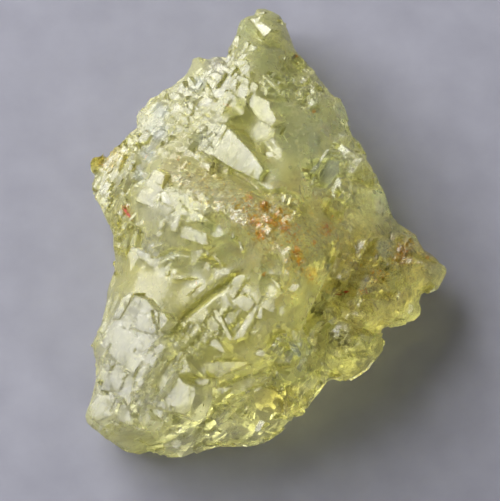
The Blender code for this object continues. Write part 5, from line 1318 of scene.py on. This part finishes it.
    total = new("ShaderNodeMath"); total.operation = "ADD"
    link(cells(2400, 1.0), total.inputs[0]); link(cells(5200, 0.45), total.inputs[1])
    height = new("ShaderNodeMath"); height.operation = "MULTIPLY"
    link(total.outputs[0], height.inputs[0]); link(grain.outputs["Fac"], height.inputs[1])
    bump = new("ShaderNodeBump"); bump.inputs["Strength"].default_value = 1.0
    bump.inputs["Distance"].default_value = LOOK["micro"]
    link(height.outputs[0], bump.inputs["Height"])
    # growth striation along the long axis
    dotc = new("ShaderNodeVectorMath"); dotc.operation = "DOT_PRODUCT"
    across = unit(np.cross(C_AXIS, OUT)) * 1000.0
    dotc.inputs[1].default_value = tuple(float(c) for c in across)
    link(tc.outputs["Object"], dotc.inputs[0])
    comb = new("ShaderNodeCombineXYZ")
    link(dotc.outputs["Value"], comb.inputs["X"])
    st = new("ShaderNodeTexNoise"); st.inputs["Scale"].default_value = 4.5; st.inputs["Detail"].default_value = 4
    link(comb.outputs["Vector"], st.inputs["Vector"])
    bump2 = new("ShaderNodeBump"); bump2.inputs["Strength"].default_value = 1.0
    bump2.inputs["Distance"].default_value = 0.000011
    link(st.outputs["Fac"], bump2.inputs["Height"]); link(bump.outputs["Normal"], bump2.inputs["Normal"])
    link(bump2.outputs["Normal"], b.inputs["Normal"])
    ab = new("ShaderNodeVolumeAbsorption")
    ab.inputs["Color"].default_value = (*LOOK["absorb"], 1)
    ab.inputs["Density"].default_value = LOOK["density"]
    link(ab.outputs["Volume"], out.inputs["Volume"])
    return m


def flake_material(name, dark, light, scale, rough=0.5):
    m, nt, b, out = new_material(name)
    link, new = nt.links.new, nt.nodes.new
    tc = new("ShaderNodeTexCoord")
    no = new("ShaderNodeTexNoise"); no.inputs["Scale"].default_value = scale; no.inputs["Detail"].default_value = 4
    link(tc.outputs["Object"], no.inputs["Vector"])
    cr = new("ShaderNodeValToRGB")
    cr.color_ramp.elements[0].position = 0.36; cr.color_ramp.elements[0].color = (*dark, 1)
    cr.color_ramp.elements[1].position = 0.64; cr.color_ramp.elements[1].color = (*light, 1)
    link(no.outputs["Fac"], cr.inputs["Fac"]); link(cr.outputs["Color"], b.inputs["Base Color"])
    b.inputs["Roughness"].default_value = rough
    return m


# ---- what is sealed in the stone ------------------------------------------------------------------------------------
class Sealer:
    """Places flakes under the skin, where the sight line through a sheet point meets it."""

    def __init__(self, piece):
        mesh = piece.data
        mesh.calc_loop_triangles()
        self.tree = BVHTree.FromPolygons([tuple(p.co) for p in mesh.vertices], [tuple(t.vertices) for t in mesh.loop_triangles])
        self.eye = Vector((EYE + SHIFT) * MM)

    def hit(self, x, y):
        ray = Vector(sight(x, y)).normalized()
        place, normal, _, _ = self.tree.ray_cast(self.eye, ray)
        return place, normal, ray

    def room(self, p):
        """How far the skin is from a point inside, in metres; 0 outside."""
        place, normal, _, dist = self.tree.find_nearest(p)
        return dist if (p - place).dot(normal) < 0 else 0.0


def flakes_object(name, polygons, material, thickness):
    """One mesh of thin closed plates."""
    verts, faces = [], []
    for ring, normal in polygons:
        k = len(verts)
        n = len(ring)
        half = normal * (thickness / 2)
        verts += [p + half for p in ring] + [p - half for p in ring]
        faces.append(tuple(k + i for i in range(n)))
        faces.append(tuple(k + n + i for i in reversed(range(n))))
        for i in range(n):
            j = (i + 1) % n
            faces.append((k + i, k + n + i, k + n + j, k + j))
    mesh = bpy.data.meshes.new(name)
    mesh.from_pydata([tuple(p) for p in verts], [], faces)
    mesh.update()
    mesh.materials.append(material)
    piece = bpy.data.objects.new(name, mesh)
    bpy.context.scene.collection.objects.link(piece)
    return piece


def plate_ring(rng, centre, normal, size, corners, stretch=None, along=None):
    normal = normal.normalized()
    if along is None:
        along = normal.orthogonal()
    along = (along - along.dot(normal) * normal).normalized()
    side = normal.cross(along)
    a0 = rng.random() * 6.283
    ring = []
    for i in range(corners):
        a = a0 + 6.283 * (i + 0.5 * rng.random()) / corners
        r = size * (0.55 + 0.45 * rng.random())
        ring.append(centre + along * (math.cos(a) * r * (stretch or 1.0)) + side * (math.sin(a) * r))
    return ring, normal


def seal_inclusions(piece, sealer):
    rng = np.random.default_rng(17)
    c_axis, etch, out = Vector(C_AXIS), Vector(ETCH), Vector(OUT)
    made = []

    def scatter(spots, depths, sizes, stretch, spread):
        found = []
        for x, y, r, count in spots:
            for _ in range(count):
                a, q = rng.random() * 6.283, math.sqrt(rng.random()) * r
                place, normal, ray = sealer.hit(x + math.cos(a) * q, y + math.sin(a) * q)
                if place is None:
                    continue
                depth = (depths[0] + (depths[1] - depths[0]) * rng.random() ** 1.5) * MM
                p = place + ray * depth - normal * 0.00008
                size = (sizes[0] + (sizes[1] - sizes[0]) * rng.random() ** 2.0) * MM
                if sealer.room(p) < size * 0.6 + 0.00004:
                    continue
                n = (out * 0.6 + Vector(rng.normal(size=3)) * spread).normalized()
                found.append(plate_ring(rng, p, n, min(size, sealer.room(p) * 0.9), int(rng.integers(4, 7)), stretch, c_axis))
        return found

    rust = scatter(RUST, (0.06, 0.6), (0.05, 0.22), 1.5, 0.7)
    made.append(flakes_object("iron_stain_flakes", rust, flake_material("iron_oxide", (0.62, 0.25, 0.004), (0.88, 0.50, 0.04), 1500, 0.6), 0.00002))
    ochre = scatter(OCHRE, (0.05, 0.5), (0.05, 0.20), 1.3, 0.8)
    made.append(flakes_object("ochre_dust_flakes", ochre, flake_material("iron_ochre", (0.80, 0.58, 0.16), (0.95, 0.80, 0.34), 1500, 0.7), 0.00002))
    dark = scatter(DARK_FLECKS, (0.03, 0.40), (0.05, 0.34), 1.6, 0.9)
    made.append(flakes_object("dark_flecks", dark, flake_material("fleck_shadow", (0.13, 0.125, 0.03), (0.34, 0.32, 0.10), 1800, 0.6), 0.00002))
    pale = scatter(PALE_FLECKS, (0.02, 0.30), (0.05, 0.34), 1.6, 0.9)
    made.append(flakes_object("pale_flecks", pale, flake_material("fleck_pale", (0.80, 0.77, 0.44), (0.96, 0.95, 0.80), 1800, 0.4), 0.00002))
    specks = scatter(SPECKS, (0.02, 0.06), (0.07, 0.12), 1.0, 0.2)
    made.append(flakes_object("black_specks", specks, flake_material("black_mica", (0.012, 0.011, 0.010), (0.03, 0.028, 0.025), 2500, 0.35), 0.00005))

    needles = []
    for x0, y0, x1, y1, width in NEEDLES:
        a, na, ray = sealer.hit(x0, y0)
        b, nb, _ = sealer.hit(x1, y1)
        if a is None or b is None:
            continue
        a, b = a + ray * 0.0003, b + ray * 0.0003
        d = (b - a)
        side = d.cross(out).normalized() * (width * MM / 2)
        ring = [a, a + d * 0.25 + side, a + d * 0.7 + side * 1.1, b, a + d * 0.65 - side, a + d * 0.2 - side * 0.8]
        needles.append((ring, out))
    made.append(flakes_object("red_iron_needles", needles, flake_material("red_iron", (0.28, 0.015, 0.010), (0.42, 0.04, 0.02), 900, 0.4), 0.00008))

    cracks = []
    for path in CRACKS:
        spots = [sealer.hit(x, y) for x, y in path]
        for (x0, y0), (x1, y1), (a, na, ra), (b, nb, rb) in zip(path, path[1:], spots, spots[1:]):
            if a is None or b is None or (a - b).length > 0.0022:
                continue
            a, b = a + ra * 0.00018, b + rb * 0.00018
            deep = ra * 0.00035
            side = (b - a).cross(deep).normalized() * 0.000022
            cracks.append(([a + side, b + side * 0.7, b - side * 0.7, a - side], ra * -1.0, deep.length))
    made.append(flakes_object("dark_cracks", [(ring, n) for ring, n, _ in cracks], flake_material("crack_shadow", (0.05, 0.05, 0.015), (0.12, 0.12, 0.04), 1800, 0.6), 0.00012))

    veil = []
    for x, y, r, depth, count, tilt, squash in VEILS:
        place, normal, ray = sealer.hit(x, y)
        if place is None:
            continue
        centre = place + ray * depth * MM
        n = (Matrix.Rotation(math.radians(tilt), 3, c_axis) @ out).normalized()
        u = (c_axis - c_axis.dot(n) * n).normalized()
        w = n.cross(u)
        for _ in range(count):
            a, q = rng.random() * 6.283, math.sqrt(rng.random()) * r * UNIT * MM
            wave = 0.35 * MM * math.sin(q / (0.9 * MM) + a * 2)
            p = centre + u * math.cos(a) * q + w * math.sin(a) * q * squash + n * (wave + rng.normal() * 0.05 * MM)
            size = (0.03 + 0.10 * rng.random() ** 2) * MM
            if sealer.room(p) < size + 0.00015:
                continue
            veil.append(plate_ring(rng, p, (n + Vector(rng.normal(size=3)) * 0.25), size, 4, 1.4, c_axis))
    made.append(flakes_object("healed_fracture_veils", veil, flake_material("veil_bubbles", (0.80, 0.82, 0.62), (0.93, 0.94, 0.86), 700, 0.25), 0.00001))
    for m in made:
        print(m.name, len(m.data.polygons))
    return made


# ---- studio -----------------------------------------------------------------------------------------------------------
def studio():
    scene = bpy.context.scene
    floor_mesh = bpy.data.meshes.new("studio_floor")
    s = 0.75
    floor_mesh.from_pydata([(-s, -s, 0), (s, -s, 0), (s, s, 0), (-s, s, 0)], [], [(0, 1, 2, 3)])
    floor = bpy.data.objects.new("studio_floor", floor_mesh)
    scene.collection.objects.link(floor)
    m, nt, b, out = new_material("pale_board")
    link, new = nt.links.new, nt.nodes.new
    tc = new("ShaderNodeTexCoord")
    no = new("ShaderNodeTexNoise"); no.inputs["Scale"].default_value = 260; no.inputs["Detail"].default_value = 5
    link(tc.outputs["Object"], no.inputs["Vector"])
    cr = new("ShaderNodeValToRGB")
    lo, hi = LOOK["floor"]
    cr.color_ramp.elements[0].position = 0.3; cr.color_ramp.elements[0].color = (*lo, 1)
    cr.color_ramp.elements[1].position = 0.7; cr.color_ramp.elements[1].color = (*hi, 1)
    link(no.outputs["Fac"], cr.inputs["Fac"]); link(cr.outputs["Color"], b.inputs["Base Color"])
    b.inputs["Roughness"].default_value = 0.75
    b.inputs["Specular IOR Level"].default_value = 0.2
    floor_mesh.materials.append(m)

    cam = bpy.data.cameras.new("camera")
    camera = bpy.data.objects.new("camera", cam)
    scene.collection.objects.link(camera)
    cam.sensor_width = 36
    cam.lens = 36 * EYE_DIST / (501 * UNIT)
    cam.clip_start = 0.01
    cam.clip_end = 10
    turned = Matrix((RIGHT, UP, OUT)).transposed().to_4x4()
    camera.matrix_world = Matrix.Translation(Vector((EYE + SHIFT) * MM)) @ turned
    scene.camera = camera

    # a soft box in the mirror direction of the etch faces, a wide one further round the back, a low one in front,
    # and a small one for the sparkle
    etch_way = 2 * (ETCH @ OUT) * ETCH - OUT
    bright_way = 2 * (PLANE_KINDS["bright"] @ OUT) * PLANE_KINDS["bright"] - OUT
    for name, way, distance, size, power, colour in (
            ("soft_box", etch_way, 1.0, LOOK["box_size"], LOOK["box_power"], LOOK["box_colour"]),
            ("wide_box", np.array(LOOK["wide_way"]), LOOK["wide_far"], LOOK["wide_size"], LOOK["wide_power"], LOOK["wide_colour"]),
            ("card", np.array(LOOK["card_way"]), 0.8, LOOK["card_size"], LOOK["card_power"], (1.0, 0.985, 0.94)),
            ("lamp", bright_way, 0.95, LOOK["lamp_size"], LOOK["lamp_power"], (1, 1, 1))):
        lamp = bpy.data.lights.new(name, "AREA")
        lamp.shape = "DISK"
        lamp.size = size
        lamp.energy = power
        lamp.color = colour
        light = bpy.data.objects.new(name, lamp)
        scene.collection.objects.link(light)
        towards = Vector(way).normalized()
        light.matrix_world = Matrix.Translation(towards * distance) @ towards.to_track_quat("Z", "Y").to_matrix().to_4x4()

    world = bpy.data.worlds.new("studio")
    scene.world = world
    world.use_nodes = True
    back = world.node_tree.nodes["Background"]
    # pale walls low down, a darker ceiling
    wt = world.node_tree
    way = wt.nodes.new("ShaderNodeTexCoord")
    part = wt.nodes.new("ShaderNodeSeparateXYZ")
    wt.links.new(way.outputs["Generated"], part.inputs[0])
    walls = wt.nodes.new("ShaderNodeValToRGB")
    walls.color_ramp.elements[0].position = 0.12; walls.color_ramp.elements[0].color = (*LOOK["walls"], 1)
    walls.color_ramp.elements[1].position = 0.34; walls.color_ramp.elements[1].color = (*LOOK["ceiling"], 1)
    wt.links.new(part.outputs["Z"], walls.inputs["Fac"])
    wt.links.new(walls.outputs["Color"], back.inputs["Color"])
    back.inputs["Strength"].default_value = 1.0
    scene.view_settings.view_transform = "Standard"
    c = scene.cycles
    c.max_bounces = 18
    c.transmission_bounces = 18
    c.glossy_bounces = 8
    c.diffuse_bounces = 5
    c.sample_clamp_indirect = LOOK["clamp"]


def main():
    studio()
    sheet, v, q = build_stone()
    crystal = stone_mesh(v, q)
    paint_stone(crystal, sheet)
    crystal.data.materials.append(beryl_material())
    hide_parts("heliodor_crystal")
    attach(crystal, "root")
    for piece in seal_inclusions(crystal, Sealer(crystal)):
        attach(piece, "root")


main()
